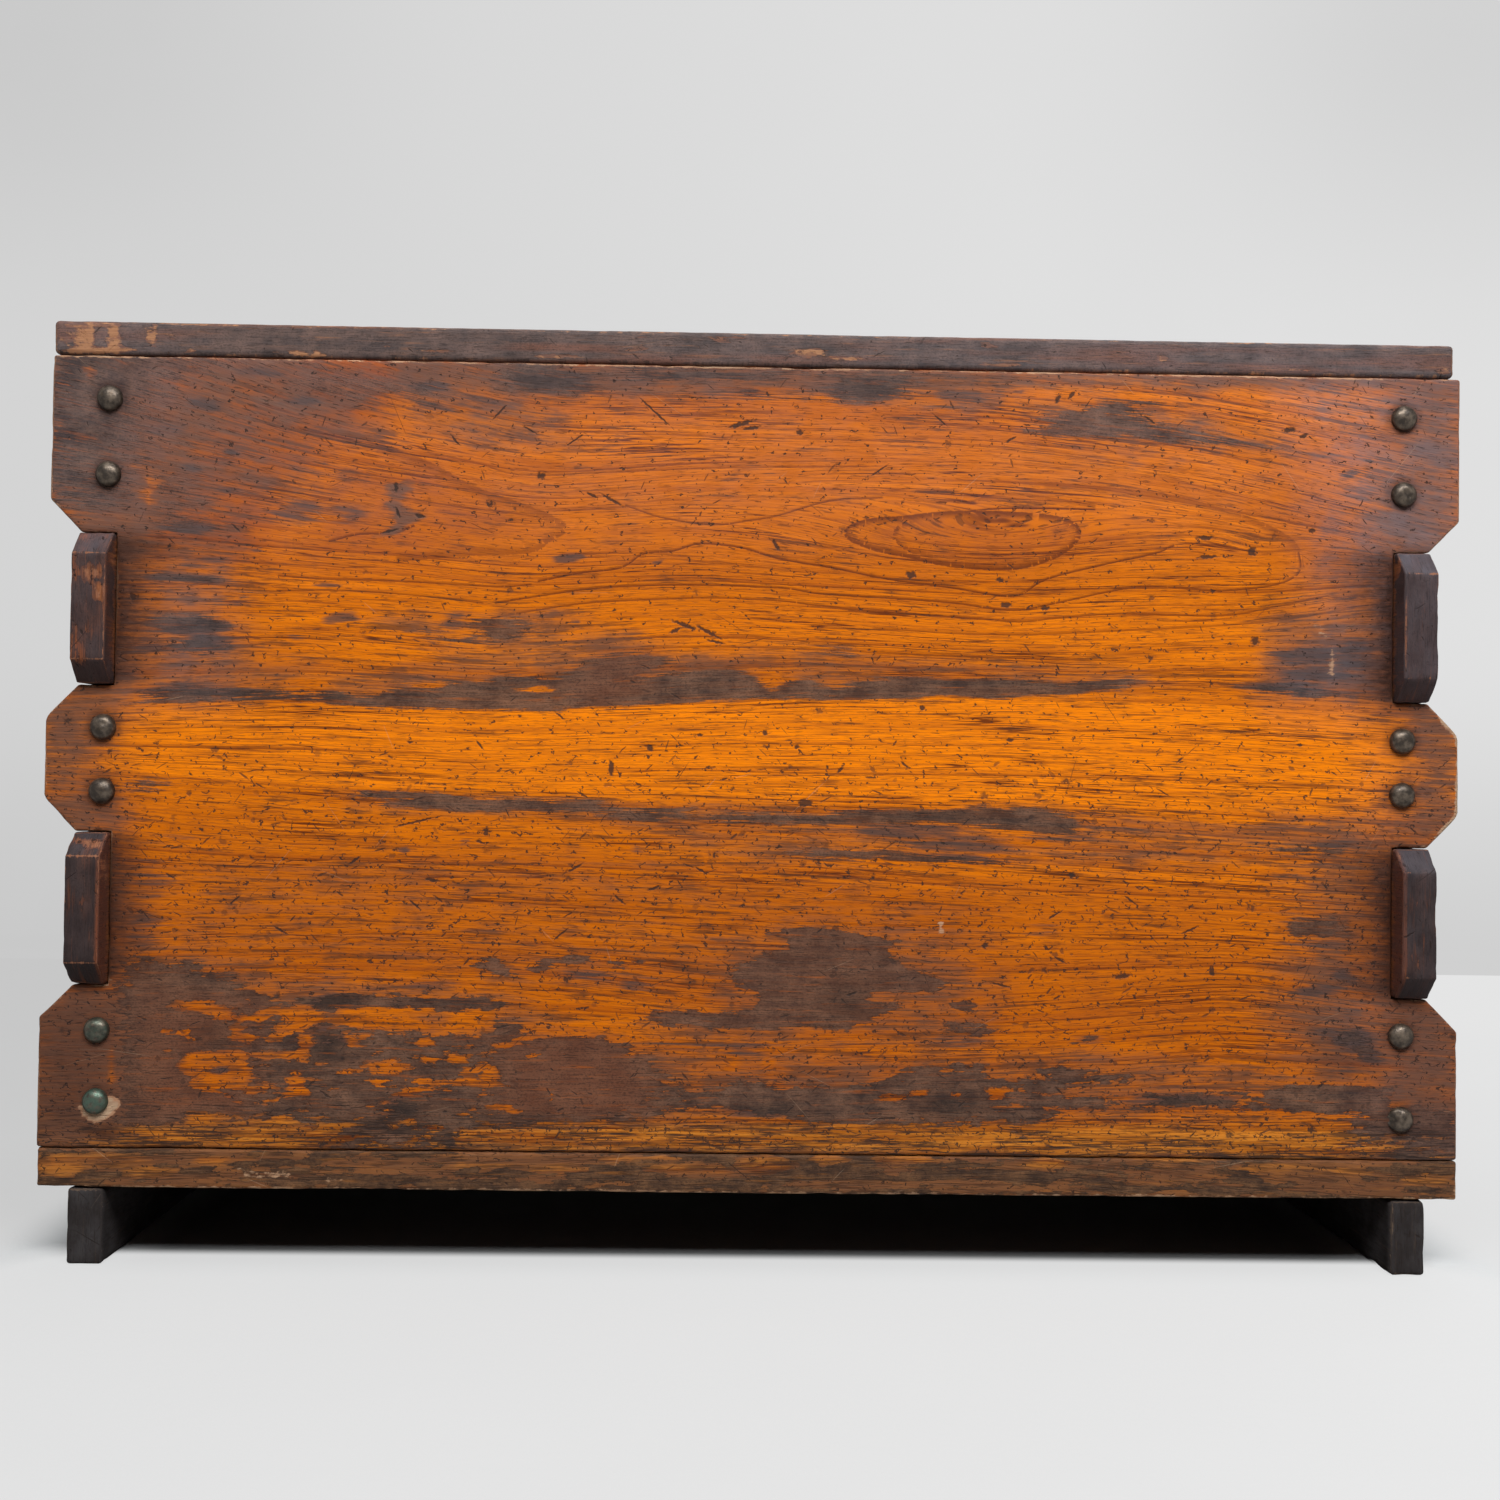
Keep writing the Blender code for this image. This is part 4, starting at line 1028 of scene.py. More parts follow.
# Colours and gloss of a wood, for what it doesn't give itself.
LACQUERED = {
    "amber": (0.92, 0.235, 0.001), "orange": (0.45, 0.097, 0.001), "pale": (0.54, 0.37, 0.24),
    "film_dark": (0.036, 0.029, 0.027), "film_warm": (0.182, 0.097, 0.062),
    "roughness": 0.46, "specular": 0.07, "veined": False, "cracked": 0.0,
}
RED_WOOD = (0.27, 0.052, 0.010)
REDDISH = (0.135, 0.043, 0.021)
FILM_RED = (0.190, 0.066, 0.032)
SMUDGE = (0.066, 0.046, 0.042)
# The pale bluish tint of the painted sheen, a reflection painted into the colour.
PAINTED_SHEEN_TINT = (0.30, 0.35, 0.45)
LINE_RED = (0.105, 0.020, 0.005)
PATINA = (0.070, 0.026, 0.012)
SCRATCH = (0.026, 0.013, 0.009)
GRIME = (0.020, 0.014, 0.012)
# The dark colour of dirt and of the painted shade round the front's nails and tenons.
SOOT_AND_SHADE_COLOUR = (0.028, 0.013, 0.010)
TAN = (0.66, 0.25, 0.032)
TAN_DARK = (0.36, 0.12, 0.014)
RING_WIDTH = 0.0095
WOOD_BUMP = (0.55, 0.0007)      # strength, and height in metres
# Lattices of the dents: cells to a metre, and the smallest and the largest dent in cells.
DENT_LATTICES = ((75.0, (0.08, 0.19)), (210.0, (0.09, 0.17)))
# Heights between which the front's dents and nicks grow more, first low down and then at its foot.
BUSY_NONE, BUSY_FULL = WALL_BASE + 0.29, WALL_BASE + 0.20
FOOT_NONE, FOOT_FULL = WALL_BASE + 0.030, WALL_BASE + 0.012
# Heights between which the front's film turns from thin streaks into thick flakes.
FLAKY_NONE, FLAKY_FULL = WALL_BASE + 0.152, WALL_BASE + 0.140


def wood_parts(g, seed, look):
    """The look of a wood, the values of its board and the noises that its layers share."""
    n = types.SimpleNamespace(seed=seed, **look)
    n.grain, n.sheet = g.attribute("grain"), g.attribute("sheet")
    n.ring, n.haze = g.parts(n.grain)[1:]
    n.across, n.smudge = g.parts(n.sheet)[1:]
    n.film, n.stain, n.tone = g.parts(g.attribute("coat"))
    n.wear, n.dirt, n.red = g.parts(g.attribute("use"))
    n.busy, n.foot, n.flaky = 0.5, 0.0, 1.0
    if n.veined:
        n.foot = g.step(n.across, FOOT_NONE, FOOT_FULL)
        n.busy = g.step(n.across, BUSY_NONE, BUSY_FULL) + n.foot
        n.flaky = g.step(n.across, FLAKY_NONE, FLAKY_FULL)
    n.fibre = g.noise(n.grain, (30, 1500), seed, 3.0, 0.6)
    n.streak = g.noise(n.grain, (5, 270), seed + 3, 5.0, 0.65)
    n.broad = g.noise(n.grain, (1.6, 26), seed + 5)
    n.ragged = g.noise(n.grain, (20, 340), seed + 7, 7.0, 0.72)
    n.chipped = g.noise(n.sheet, (150, 320), seed + 8, 6.0, 0.70)
    n.blotch = g.noise(n.sheet, (40, 60), seed + 9, 4.0, 0.62)
    n.lobes = g.noise(n.sheet, (85, 210), seed + 10)
    n.speck = g.noise(n.sheet, (620, 900), seed + 11, 2.0, 0.6)
    n.wobble = g.vector("SUBTRACT", g.value("TexNoise", {
        "Vector": n.sheet, "Scale": 420.0, "Detail": 3.0}, "Color", noise_dimensions="2D"), (0.5,) * 3)
    return n


def bare_wood(g, n):
    """Two tones, a red tint, fibres and the rings, each darker towards its end."""
    shade = n.tone + swing(n.streak, 1.1) + swing(n.broad, 0.6) + swing(n.blotch, 0.35)
    colour = g.mix(shade, n.orange, n.amber)
    flush = n.red + swing(n.streak, 0.7) + swing(n.blotch, 0.6)
    flush = g.step(flush, 0.15, 0.95) * g.step(n.red, 0.0, 0.3)
    colour = g.mix(flush * 0.85, colour, RED_WOOD)
    if n.veined:
        colour = g.mix(n.foot * 0.8, colour, g.mix(g.step(n.streak, 0.38, 0.62), TAN_DARK, TAN))
    colour = g.mix(g.step(n.fibre, 0.42, 0.70, 0.0, 0.62), colour, g.mix(0.5, n.orange, REDDISH))
    bent = g.noise(n.grain, (1.1, 60), n.seed + 12, 2.0) * 1.5
    turn = g.math("FRACT", n.ring * (1 / RING_WIDTH) + bent)
    seen = g.step(g.noise(n.grain, (1.6, 75), n.seed + 13), 0.42, 0.64)
    colour = g.mix(g.step(turn, 0.35, 0.98) * seen * 0.35, colour, RED_WOOD)
    lines = g.step(turn, 0.86, 0.96) * seen * 0.55
    if n.veined:
        lines = g.most(lines, g.veins(n.wobble))
    hairs = g.near_middle(g.noise(n.grain, (3.5, 190), n.seed + 23, 4.0, 0.6), 0.030, 0.010)
    hairs = hairs * g.step(g.noise(n.grain, (4, 60), n.seed + 24, 2.0), 0.40, 0.62)
    lines = g.most(lines, hairs * 0.92)
    return g.mix(lines, colour, LINE_RED), lines


def coated(g, n, colour):
    """Grime in the grain, thin reddish film, smudges, then what is left of the dark film, and a painted
    sheen.
    """
    patina = g.noise(n.grain, (14, 420), n.seed + 19, 6.0, 0.70)
    patina = patina + n.stain * 0.18 + swing(n.blotch, 0.30) + n.foot * 0.04
    colour = g.mix(g.step(patina, 0.57, 0.70) * 0.74, colour, PATINA)
    thin = n.stain + swing(n.streak, 0.7) + swing(n.ragged, 0.6) + swing(n.blotch, 0.5)
    thin = g.step(thin, 0.15, 0.90) * g.step(n.stain, 0.0, 0.35)
    colour = g.mix(thin * 0.86, colour, g.mix(n.fibre, REDDISH, n.film_warm))
    soft = n.smudge + swing(n.ragged, 1.2) + swing(n.streak, 0.8)
    soft = g.step(soft, 0.25, 0.70) * g.step(n.smudge, 0.0, 0.25)
    colour = g.mix(soft * 0.82, colour, SMUDGE)
    streaky = 1.0 - n.flaky
    left = n.film + swing(n.ragged, 1.1) + swing(n.lobes, 0.8) * g.step(n.flaky, 0.0, 1.0, 0.2, 1.0)
    left = left + swing(n.chipped, 0.30) + swing(n.speck, 0.10) + swing(n.fibre, 0.5) * streaky
    crisp = g.step(left, 0.470, 0.500) * n.flaky
    faded = g.step(left, 0.400, 0.590) * streaky
    cover = (crisp + faded) * g.step(n.film, 0.02, 0.20)
    lip = crisp * g.step(left, 0.62, 0.50)
    runs = g.noise(n.sheet, (55, 5), n.seed + 21, 4.0, 0.6)
    grey = swing(n.blotch, 1.9) + swing(runs, 0.7) + swing(n.streak, 0.9)
    grey = grey + swing(n.lobes, 0.5) + swing(n.chipped, 0.9) + 0.42
    dark = g.mix(grey, n.film_dark, n.film_warm)
    dark = g.mix(n.red * 0.60, dark, FILM_RED)
    dark = g.mix(g.step(n.speck + swing(n.fibre, 1.0), 0.48, 0.76, 0.0, 0.55), dark, GRIME)
    dark = g.mix(lip * 0.40, dark, GRIME)
    dark = g.mix(n.smudge * 0.60, dark, GRIME)
    dark = g.mix(g.step(n.ragged, 0.56, 0.74, 0.0, 0.45), dark, n.orange)
    colour = g.mix(cover * 0.92, colour, dark)
    # A painted sheen: a pale bluish reflection painted into the colour.
    return g.mix(n.haze * g.step(n.blotch, 0.2, 0.8, 0.6, 1.4), colour, PAINTED_SHEEN_TINT), cover


def worn(g, n, colour, cover):
    """Scratches, nicks, dents, pores, cracks, pale arrises, and dirt with painted shade."""
    pores = g.step(g.noise(n.grain, (90, 1500), n.seed + 17, 1.0), 0.66, 0.73)
    cuts, pale_cuts = g.strokes("cut", n.wobble)
    scars, pale_scars = g.strokes("scar", n.wobble)
    nicks = g.near_middle(g.noise(n.sheet, (130, 170), n.seed + 25, 2.0), 0.045, 0.015)
    nicks = nicks * g.step(g.noise(n.sheet, (210, 260), n.seed + 27, 2.0) + n.busy * 0.05, 0.625, 0.66)
    share = n.busy * 0.035 + 0.018
    dents = [g.dents(n.sheet, cells, n.wobble, share, size) for cells, size in DENT_LATTICES]
    marked = g.most(nicks, *dents) * (1.0 - cover * 0.75)
    cracks = g.near_middle(g.noise(n.grain, (13, 330), n.seed + 29, 3.0, 0.6), 0.070, 0.025)
    cracks = cracks * g.step(g.noise(n.grain, (24, 150), n.seed + 33, 2.0), 0.40, 0.58)
    cracks = cracks * (n.foot if n.veined else n.cracked)
    hurt = g.most(cuts, scars, pores * 0.6, marked, cracks)
    scratched = g.most(pale_cuts, pale_scars)
    colour = g.mix(hurt * 0.88, colour, g.mix(n.speck, SCRATCH, n.film_dark))
    colour = g.mix(scratched * 0.30, colour, n.pale)
    rubbed = n.wear + swing(n.ragged, 0.6) + swing(n.chipped, 1.1)
    rubbed = g.step(rubbed, 0.45, 0.65) * g.step(n.wear, 0.02, 0.2)
    bared = g.mix(n.blotch * g.step(n.wear, 0.75, 0.95, 0.55, 0.0), n.pale, n.orange)
    bared = g.mix(g.step(n.fibre, 0.42, 0.70, 0.0, 0.45), bared, REDDISH)
    colour = g.mix(rubbed * 0.85, colour, bared)
    # Dirt and painted shade, round the nails and beside the tenons.
    grime_and_shade = n.dirt * g.step(n.chipped, 0.2, 0.7, 0.75, 1.05)
    return g.mix(grime_and_shade, colour, SOOT_AND_SHADE_COLOUR), hurt, scratched, rubbed


def wood(name, seed, **look):
    """Old lacquered wood, worn through to the grain."""
    g = Graph(bpy.data.materials.new(name))
    n = wood_parts(g, seed, {**LACQUERED, **look})
    colour, lines = bare_wood(g, n)
    colour, cover = coated(g, n, colour)
    colour, hurt, scratched, rubbed = worn(g, n, colour, cover)
    rough = n.roughness + swing(n.blotch, 0.22) + rubbed * 0.18
    height = n.fibre * 0.25 + cover * 0.30 + n.chipped * 0.35
    height = height - hurt - lines * 0.15 - scratched * 0.4
    return g.finish(colour, rough, height, *WOOD_BUMP, **{"Specular IOR Level": n.specular})


IRON_BUMP = (0.35, 0.0004)
IRON_SHADER = {"Metallic": 0.60, "Specular IOR Level": 0.4}


def iron(name, seed, dark, light, green, rust):
    """Old dark metal, paler in patches, with traces of corrosion."""
    g = Graph(bpy.data.materials.new(name))
    place = g.value("TexCoord", {}, "Object")
    hammered = g.noise(place, (210,) * 3, seed, 4.0, 0.6)
    fine = g.noise(place, (900,) * 3, seed + 3, 3.0, 0.6)
    patches = g.noise(place, (330,) * 3, seed + 7, 4.0, 0.65)
    colour = g.mix(g.step(hammered, 0.35, 0.7), dark, light)
    colour = g.mix(g.step(patches, 0.56, 0.72, 0.0, 0.6), colour, rust)
    if green:
        bloom = g.parts(g.attribute("use"))[0]
        colour = g.mix(bloom * g.step(patches, 0.30, 0.6), colour, green)
    colour = g.mix(g.step(fine, 0.55, 0.8, 0.0, 0.5), colour, dark)
    rough = g.step(fine, 0.2, 0.8, 0.28, 0.50)
    return g.finish(colour, rough, hammered + fine * 0.35, *IRON_BUMP, **IRON_SHADER)


# Boards.

# Steps of a lattice, in metres: along and up the board, and through it.
FRONT_STEPS = (0.004, 0.0026, 0.0044)
BACK_STEPS = (0.008, 0.0045, 0.0055)
SLOT_STEP = 0.0032
FLARE_STEPS = 8                 # the lattice lines over a slot's flare
CHAMFER_STEPS = 5
WALL_ARRIS = 0.0014
END_ARRIS = 0.0012
CORNER_RADIUS = 0.0032
LUG_RADIUS = 0.015              # the corners of the lugs between the tenons are worn rounder
LUG_LOW, LUG_HIGH = TENON_CENTRES[0] + SLOT_HALF, TENON_CENTRES[1] - SLOT_HALF
TENON_EDGE = -INNER_FACE - JOINT_GAP
TENON_SHOULDER = TENON_TIP - TENON_CHAMFER
RUB_SIZE = 0.03                 # of the patches in which arrises are rubbed, and dirt lies
ARRIS_REACH = 0.0035            # how far from an arris it is rubbed
TENON_ARRIS_REACH, LID_ARRIS_REACH, BOTTOM_ARRIS_REACH = 0.0024, 0.0045, 0.004
OUTSIDE_MARGIN = 0.0005         # this near to the end boards' outer faces, nothing lies inside


def inner_face(board):
    """The places of a board's plain face that lie inside the box."""
    return board.plain & (np.abs(board.points[:, 0]) < END_OUTSIDE - OUTSIDE_MARGIN)


def worn_arrises(board, seed, reach=ARRIS_REACH):
    """How far each place of a board is rubbed pale along its arrises."""
    near = 1 - rise(board.to_arris, 0.0, reach)
    return near * (0.25 + 0.85 * rough_lumps(board.points, RUB_SIZE, seed))


def tenon_levels(half):
    """The low and the high end of each tenon or slot, from its half height."""
    return [(middle - half, middle + half) for middle in TENON_CENTRES]


def wall_outline():
    """The outline of the front and back boards, with a flared slot for each tenon."""
    right = [(HALF_LENGTH, WALL_BASE)]
    for low, high in tenon_levels(SLOT_HALF):
        right += [(HALF_LENGTH, low - SLOT_FLARE), (END_OUTSIDE, low), (SLOT_ROOT, low),
                  (SLOT_ROOT, high), (END_OUTSIDE, high), (HALF_LENGTH, high + SLOT_FLARE)]
    right.append((HALF_LENGTH, WALL_TOP))
    return right + [(-x, z) for x, z in reversed(right)]


def wall_radii():
    """The radius at each corner of the wall's outline."""
    return [LUG_RADIUS if LUG_LOW < z < LUG_HIGH and abs(x) > END_OUTSIDE else CORNER_RADIUS
            for x, z in wall_outline()]


def wall_lattice(step_x, step_z):
    """Lattice lines that follow the slots of a wall board."""
    us = ruled((-HALF_LENGTH, -END_OUTSIDE, FLARE_STEPS), between(-END_OUTSIDE, -SLOT_ROOT, SLOT_STEP),
               between(-SLOT_ROOT, SLOT_ROOT, step_x),
               between(SLOT_ROOT, END_OUTSIDE, SLOT_STEP), (END_OUTSIDE, HALF_LENGTH, FLARE_STEPS))
    spans, level = [], WALL_BASE
    for low, high in tenon_levels(SLOT_HALF):
        spans += [between(level, low - SLOT_FLARE, step_z), (low - SLOT_FLARE, low, FLARE_STEPS),
                  between(low, high, step_z), (high, high + SLOT_FLARE, FLARE_STEPS)]
        level = high + SLOT_FLARE
    return us, ruled(*spans, between(level, WALL_TOP, step_z))


def wall_board(node, face, inside, steps, seed):
    us, vs = wall_lattice(*steps[:2])
    ws = ruled(between(face, inside, steps[2]))
    board = Board(node + "_visual", "xzy", us, vs, ws, wall_outline(), WALL_ARRIS)
    board.round_corners(wall_radii())
    board.weather(seed)
    return board


FLAKE_LINE = 915                # the height in the frame below which the film comes off in flakes
FLAKE_SOFT = 10
FLECK_SEED, STROKE_SEED = 29, 5
FILM_SOFTER = 2.2
STREAK_STRETCH, FLAKE_STRETCH = 6.0, 2.5
RUN_START, RUN_END = 30, 40     # pixels over which a faint run comes and goes
# How far the edges of the marks wander along and up, in pixels, and in lumps of what size.
COMB, COMB_SIZE = 22, (0.05, 0.05, 0.0056)
BOB, BOB_SIZE = 8, (0.03, 0.03, 0.008)
CLOUD_SIZE = (0.10, 0.10, 0.05)


def random_flecks():
    rng = np.random.default_rng(FLECK_SEED)
    left, top, right, bottom = FLECK_AREA
    return tuple((rng.uniform(left, right), rng.uniform(top, bottom), rng.uniform(*FLECK_LENGTHS),
                  rng.uniform(*FLECK_HEIGHTS)) for _ in range(FLECK_COUNT))


def front_coat(points):
    """Film, stain, pale wear, red tint, painted sheen and smudges of the front, from places in the frame.
    """
    x, y = to_frame(points)
    comb = COMB * (rough_lumps(points, COMB_SIZE, 3) - 0.5)
    bob = BOB * (rough_lumps(points, BOB_SIZE, 7) - 0.5)
    streaks = painted(x + comb, y + bob, FILM_AREAS, FILM_SOFTER, STREAK_STRETCH)
    flakes = painted(x + comb, y + bob, FILM_AREAS, FILM_SOFTER, FLAKE_STRETCH)
    flaky = rise(y, FLAKE_LINE - FLAKE_SOFT, FLAKE_LINE + FLAKE_SOFT)
    film = streaks * (1 - flaky) + flakes * flaky
    bare = np.maximum(0.9 * spotted(x + comb, y + bob, BARE_ISLANDS + random_flecks(), 0.2, 1.5),
                      painted(x + 0.5 * comb, y + 0.5 * bob, BARE_AREAS, FILM_SOFTER, 2.0))
    film = film * (1 - 0.76 * bare)
    clouds = rough_lumps(points, CLOUD_SIZE, 13)
    stain = painted(x + comb, y + bob, STAIN_AREAS, 1.0, 3.0) * (0.55 + 0.7 * clouds) * (1 - 0.55 * bare)
    red = painted(x, y, RED_AREAS, 1.0, 2.0) * (0.5 + 0.8 * clouds) * (1 - 0.7 * bare)
    pale = painted(x, y, PALE_AREAS)
    # The painted sheen, a reflection painted into the colour.
    haze = painted(x, y, PAINTED_SHEEN_AREAS)
    smudge = spotted(x + comb, y + 0.5 * bob, SMUDGES, 0.2, 1.4)
    for place, half_width, top, bottom, strength in FAINT_RUNS:
        run = (1 - rise(np.abs(x - place), 0, half_width)) * rise(y, top, top + RUN_START)
        pale = np.maximum(pale, strength * run * (1 - rise(y, bottom - RUN_END, bottom)))
    return film, np.clip(stain, 0, 1), pale, np.clip(red, 0, 1), haze, smudge


# How far painted shade and dirt reach from the tenons over the wall, the lower tenon of each side first.
SOOT_AND_SHADE_REACH = {-1: (0.040, 0.056), 1: (0.056, 0.066)}
SOOT_AND_SHADE_START = -0.014
SOOT_AND_SHADE_FLATTEN = 4                # how much sooner it ends above and below a tenon
SOOT_AND_SHADE_INSET = 0.006              # how far inside a tenon's ends its painted shade and dirt start
NAIL_SOOT_AND_SHADE = (0.0075, 0.0155)    # from a nail's middle to where its painted shade and dirt start to fade and end
SOOT_AND_SHADE_LIMIT = 0.92


def soot_and_shade(points):
    """Dirt with painted shade on a wall: round its nails, and beside its tenons where their shadow falls.
    """
    x, z = points[:, 0], points[:, 2]
    dirt = painted(*to_frame(points), GRIME_AND_SHADE_AREAS, 1.0, 1.5)
    for side, reaches in SOOT_AND_SHADE_REACH.items():
        for middle, reach in zip(TENON_CENTRES, reaches):
            away = np.hypot(np.maximum(END_INSIDE - side * x, 0),
                            SOOT_AND_SHADE_FLATTEN * np.maximum(np.abs(z - middle) - TENON_HEIGHT / 2
                                                      + SOOT_AND_SHADE_INSET, 0))
            dirt = np.maximum(dirt, 1.0 - rise(away, SOOT_AND_SHADE_START, reach))
    for side, k in itertools.product(("left", "right"), range(1, 7)):
        low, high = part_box(f"front_{side}_nail_{k}")
        away = np.hypot(x - (low.x + high.x) / 2, z - (low.z + high.z) / 2)
        dirt = np.maximum(dirt, 0.6 * (1 - rise(away, *NAIL_SOOT_AND_SHADE)))
    return np.minimum(dirt * (0.75 + 0.5 * rough_lumps(points, RUB_SIZE, 17)), SOOT_AND_SHADE_LIMIT)


VEIN_OVERLAP = 0.62             # half a stroke's length, in steps of its curve
SCAR_WIDTH = (0.00022, 0.0004)
PALE_SCAR, DARK_SCAR = (0.006, 0.022), (0.005, 0.018)
SCAR_TURN = 1.3
PALE_SCARS, DARK_SCARS = 46, 40     # how many the front has
STROKE_DENSITY = 2200           # to a square metre
# Small strokes strewn over the front: area, how many, half lengths, half widths, turn, depth.
FRONT_CUTS = (
    ("face", 700, (0.0010, 0.0042), (0.0003, 0.0007), 1.3, 1.0),
    ("lower", 900, (0.0010, 0.0050), (0.0003, 0.0008), 0.9, 1.0),
    ("face", 500, (0.0005, 0.0013), (0.0004, 0.0012), 1.5, 1.0),
    ("lower", 260, (0.0014, 0.0032), (0.0010, 0.0024), 1.0, 0.7),
    ("foot", 330, (0.0015, 0.0120), (0.0003, 0.0009), 0.07, 1.0),
    ("foot", 120, (0.0010, 0.0040), (0.0003, 0.0007), 1.0, 1.0),
)


def vein_strokes(strength, half_width, path):
    """Short strokes along a smooth curve through the points of a path."""
    points = [on_front(*place) for place in path]
    points = [2 * points[0] - points[1]] + points + [2 * points[-1] - points[-2]]
    curve = []
    for a, b, c, d in zip(points, points[1:], points[2:], points[3:]):
        for t in (k / VEIN_STEPS for k in range(VEIN_STEPS)):
            curve.append(b + 0.5 * t * ((c - a) + t * ((2 * a - 5 * b + 4 * c - d)
                                                       + t * (3 * (b - c) + d - a))))
    curve.append(points[-2])
    for a, b in zip(curve, curve[1:]):
        yield ((a.x + b.x) / 2, (a.z + b.z) / 2, VEIN_OVERLAP * (b - a).length, half_width * PIXEL,
               math.atan2(b.z - a.z, b.x - a.x), strength)


def front_strokes(board):
    """Dents and scratches of the front: the named ones, and small ones strewn over it."""
    rng = np.random.default_rng(STROKE_SEED)
    tops = {"face": WALL_TOP, "lower": (WALL_BASE + WALL_TOP) / 2, "foot": FOOT_NONE}
    areas = {name: (-HALF_LENGTH, WALL_BASE, HALF_LENGTH, top) for name, top in tops.items()}
    board.score("cut", np.concatenate([random_strokes(rng, areas[name], *kind)
                                       for name, *kind in FRONT_CUTS]))
    named = []
    for x, y, half_length, half_width, turn in MARKS:
        at = on_front(x, y)
        named.append((at.x, at.z, half_length * PIXEL, half_width * PIXEL, math.radians(-turn), 1.0))
    board.score("vein", [stroke for vein in VEINS for stroke in vein_strokes(*vein)])
    board.score("scar", np.concatenate([
        named,
        random_strokes(rng, areas["face"], PALE_SCARS, PALE_SCAR, SCAR_WIDTH, SCAR_TURN, -0.8),
        random_strokes(rng, areas["face"], DARK_SCARS, DARK_SCAR, SCAR_WIDTH, SCAR_TURN, 0.8),
    ]))


def generic_strokes(board, seed):
    """Dents and scratches strewn over any other board."""
    rng = np.random.default_rng(seed)
    sheet = board.layers["sheet"][:, :2]
    low, high = sheet.min(axis=0), sheet.max(axis=0)
    area = (*low, *high)
    few = max(4, int(np.prod(high - low) * STROKE_DENSITY))
    board.score("cut", np.concatenate([
        random_strokes(rng, area, few, (0.0012, 0.0055), (0.0003, 0.0009), 1.2),
        random_strokes(rng, area, few // 2, (0.0005, 0.0014), (0.0004, 0.0012), 1.5)]))
    board.score("scar", np.concatenate([
        random_strokes(rng, area, max(2, few // 12), PALE_SCAR, SCAR_WIDTH, SCAR_TURN, -0.8),
        random_strokes(rng, area, max(2, few // 12), DARK_SCAR, SCAR_WIDTH, SCAR_TURN)]))


TOP_RING = 356                  # the ring at the top of the front board
MIDDLE_RINGS, LOW_RINGS = (540, 610), (820, 900)
# How the bright band starts and ends, in rings from its edges.
BAND_START, BAND_END = np.array((-5, 5)), np.array((-12, 6))
PALER_RIGHT = (0.10, 0.25)      # where along the front the wood turns paler
# Where rubbing starts and ends: up from the base, down from the top, and in from the right end.
BASE_WEAR, RIM_WEAR, SIDE_WEAR = (0.002, 0.006), (0.0006, 0.0026), (0.0008, 0.0040)
UPPER_WEAR = WALL_TOP - 0.11, WALL_TOP - 0.05      # heights between which the end is rubbed more
PATCH_SIZE, CHIP_SIZE = (0.05, 0.05, 0.02), (0.014, 0.014, 0.010)
# How far behind its front, and before its inner face, the front board turns into the inside.
TURN_START, TURN_END = 0.004, 0.002


def front_tone(rings, x):
    """How pale the bare wood of the front is: most in the bright band."""
    low, high = BRIGHT_BAND
    band = rise(rings, *(low + BAND_START)) * (1 - rise(rings, *(high + BAND_END)))
    shade = 0.36 + 0.16 * rise(rings, *MIDDLE_RINGS) - 0.23 * rise(rings, *LOW_RINGS)
    shade += 0.13 * rise(x, *PALER_RIGHT)
    return shade + (1 - shade) * band


def front_wear(board, front, pale):
    """How far the front board is rubbed pale: its arrises, and on its face the placed
    spots, the upper rim, and the chipped right end."""
    x, z = board.points[:, 0], board.points[:, 2]
    low_arris = 1 - 0.75 * (1 - rise(z - WALL_BASE, *BASE_WEAR))
    patchy = 1.1 * rise(rough_lumps(board.points, PATCH_SIZE, 19), 0.42, 0.72)
    rim = patchy * (1 - rise(WALL_TOP - z, *RIM_WEAR))
    chips = 1.25 * rise(rough_lumps(board.points, CHIP_SIZE, 23), 0.38, 0.56)
    upper = patchy * (0.5 + 0.5 * rise(z, *UPPER_WEAR))
    side = (1 - rise(board.to_arris, *SIDE_WEAR)) * (x > END_OUTSIDE)
    side = side * np.where((z > LUG_LOW) & (z < LUG_HIGH), chips, upper)
    face = np.maximum.reduce([pale, rim, side])
    return np.maximum(low_arris * worn_arrises(board, 11), np.where(front, face, 0))


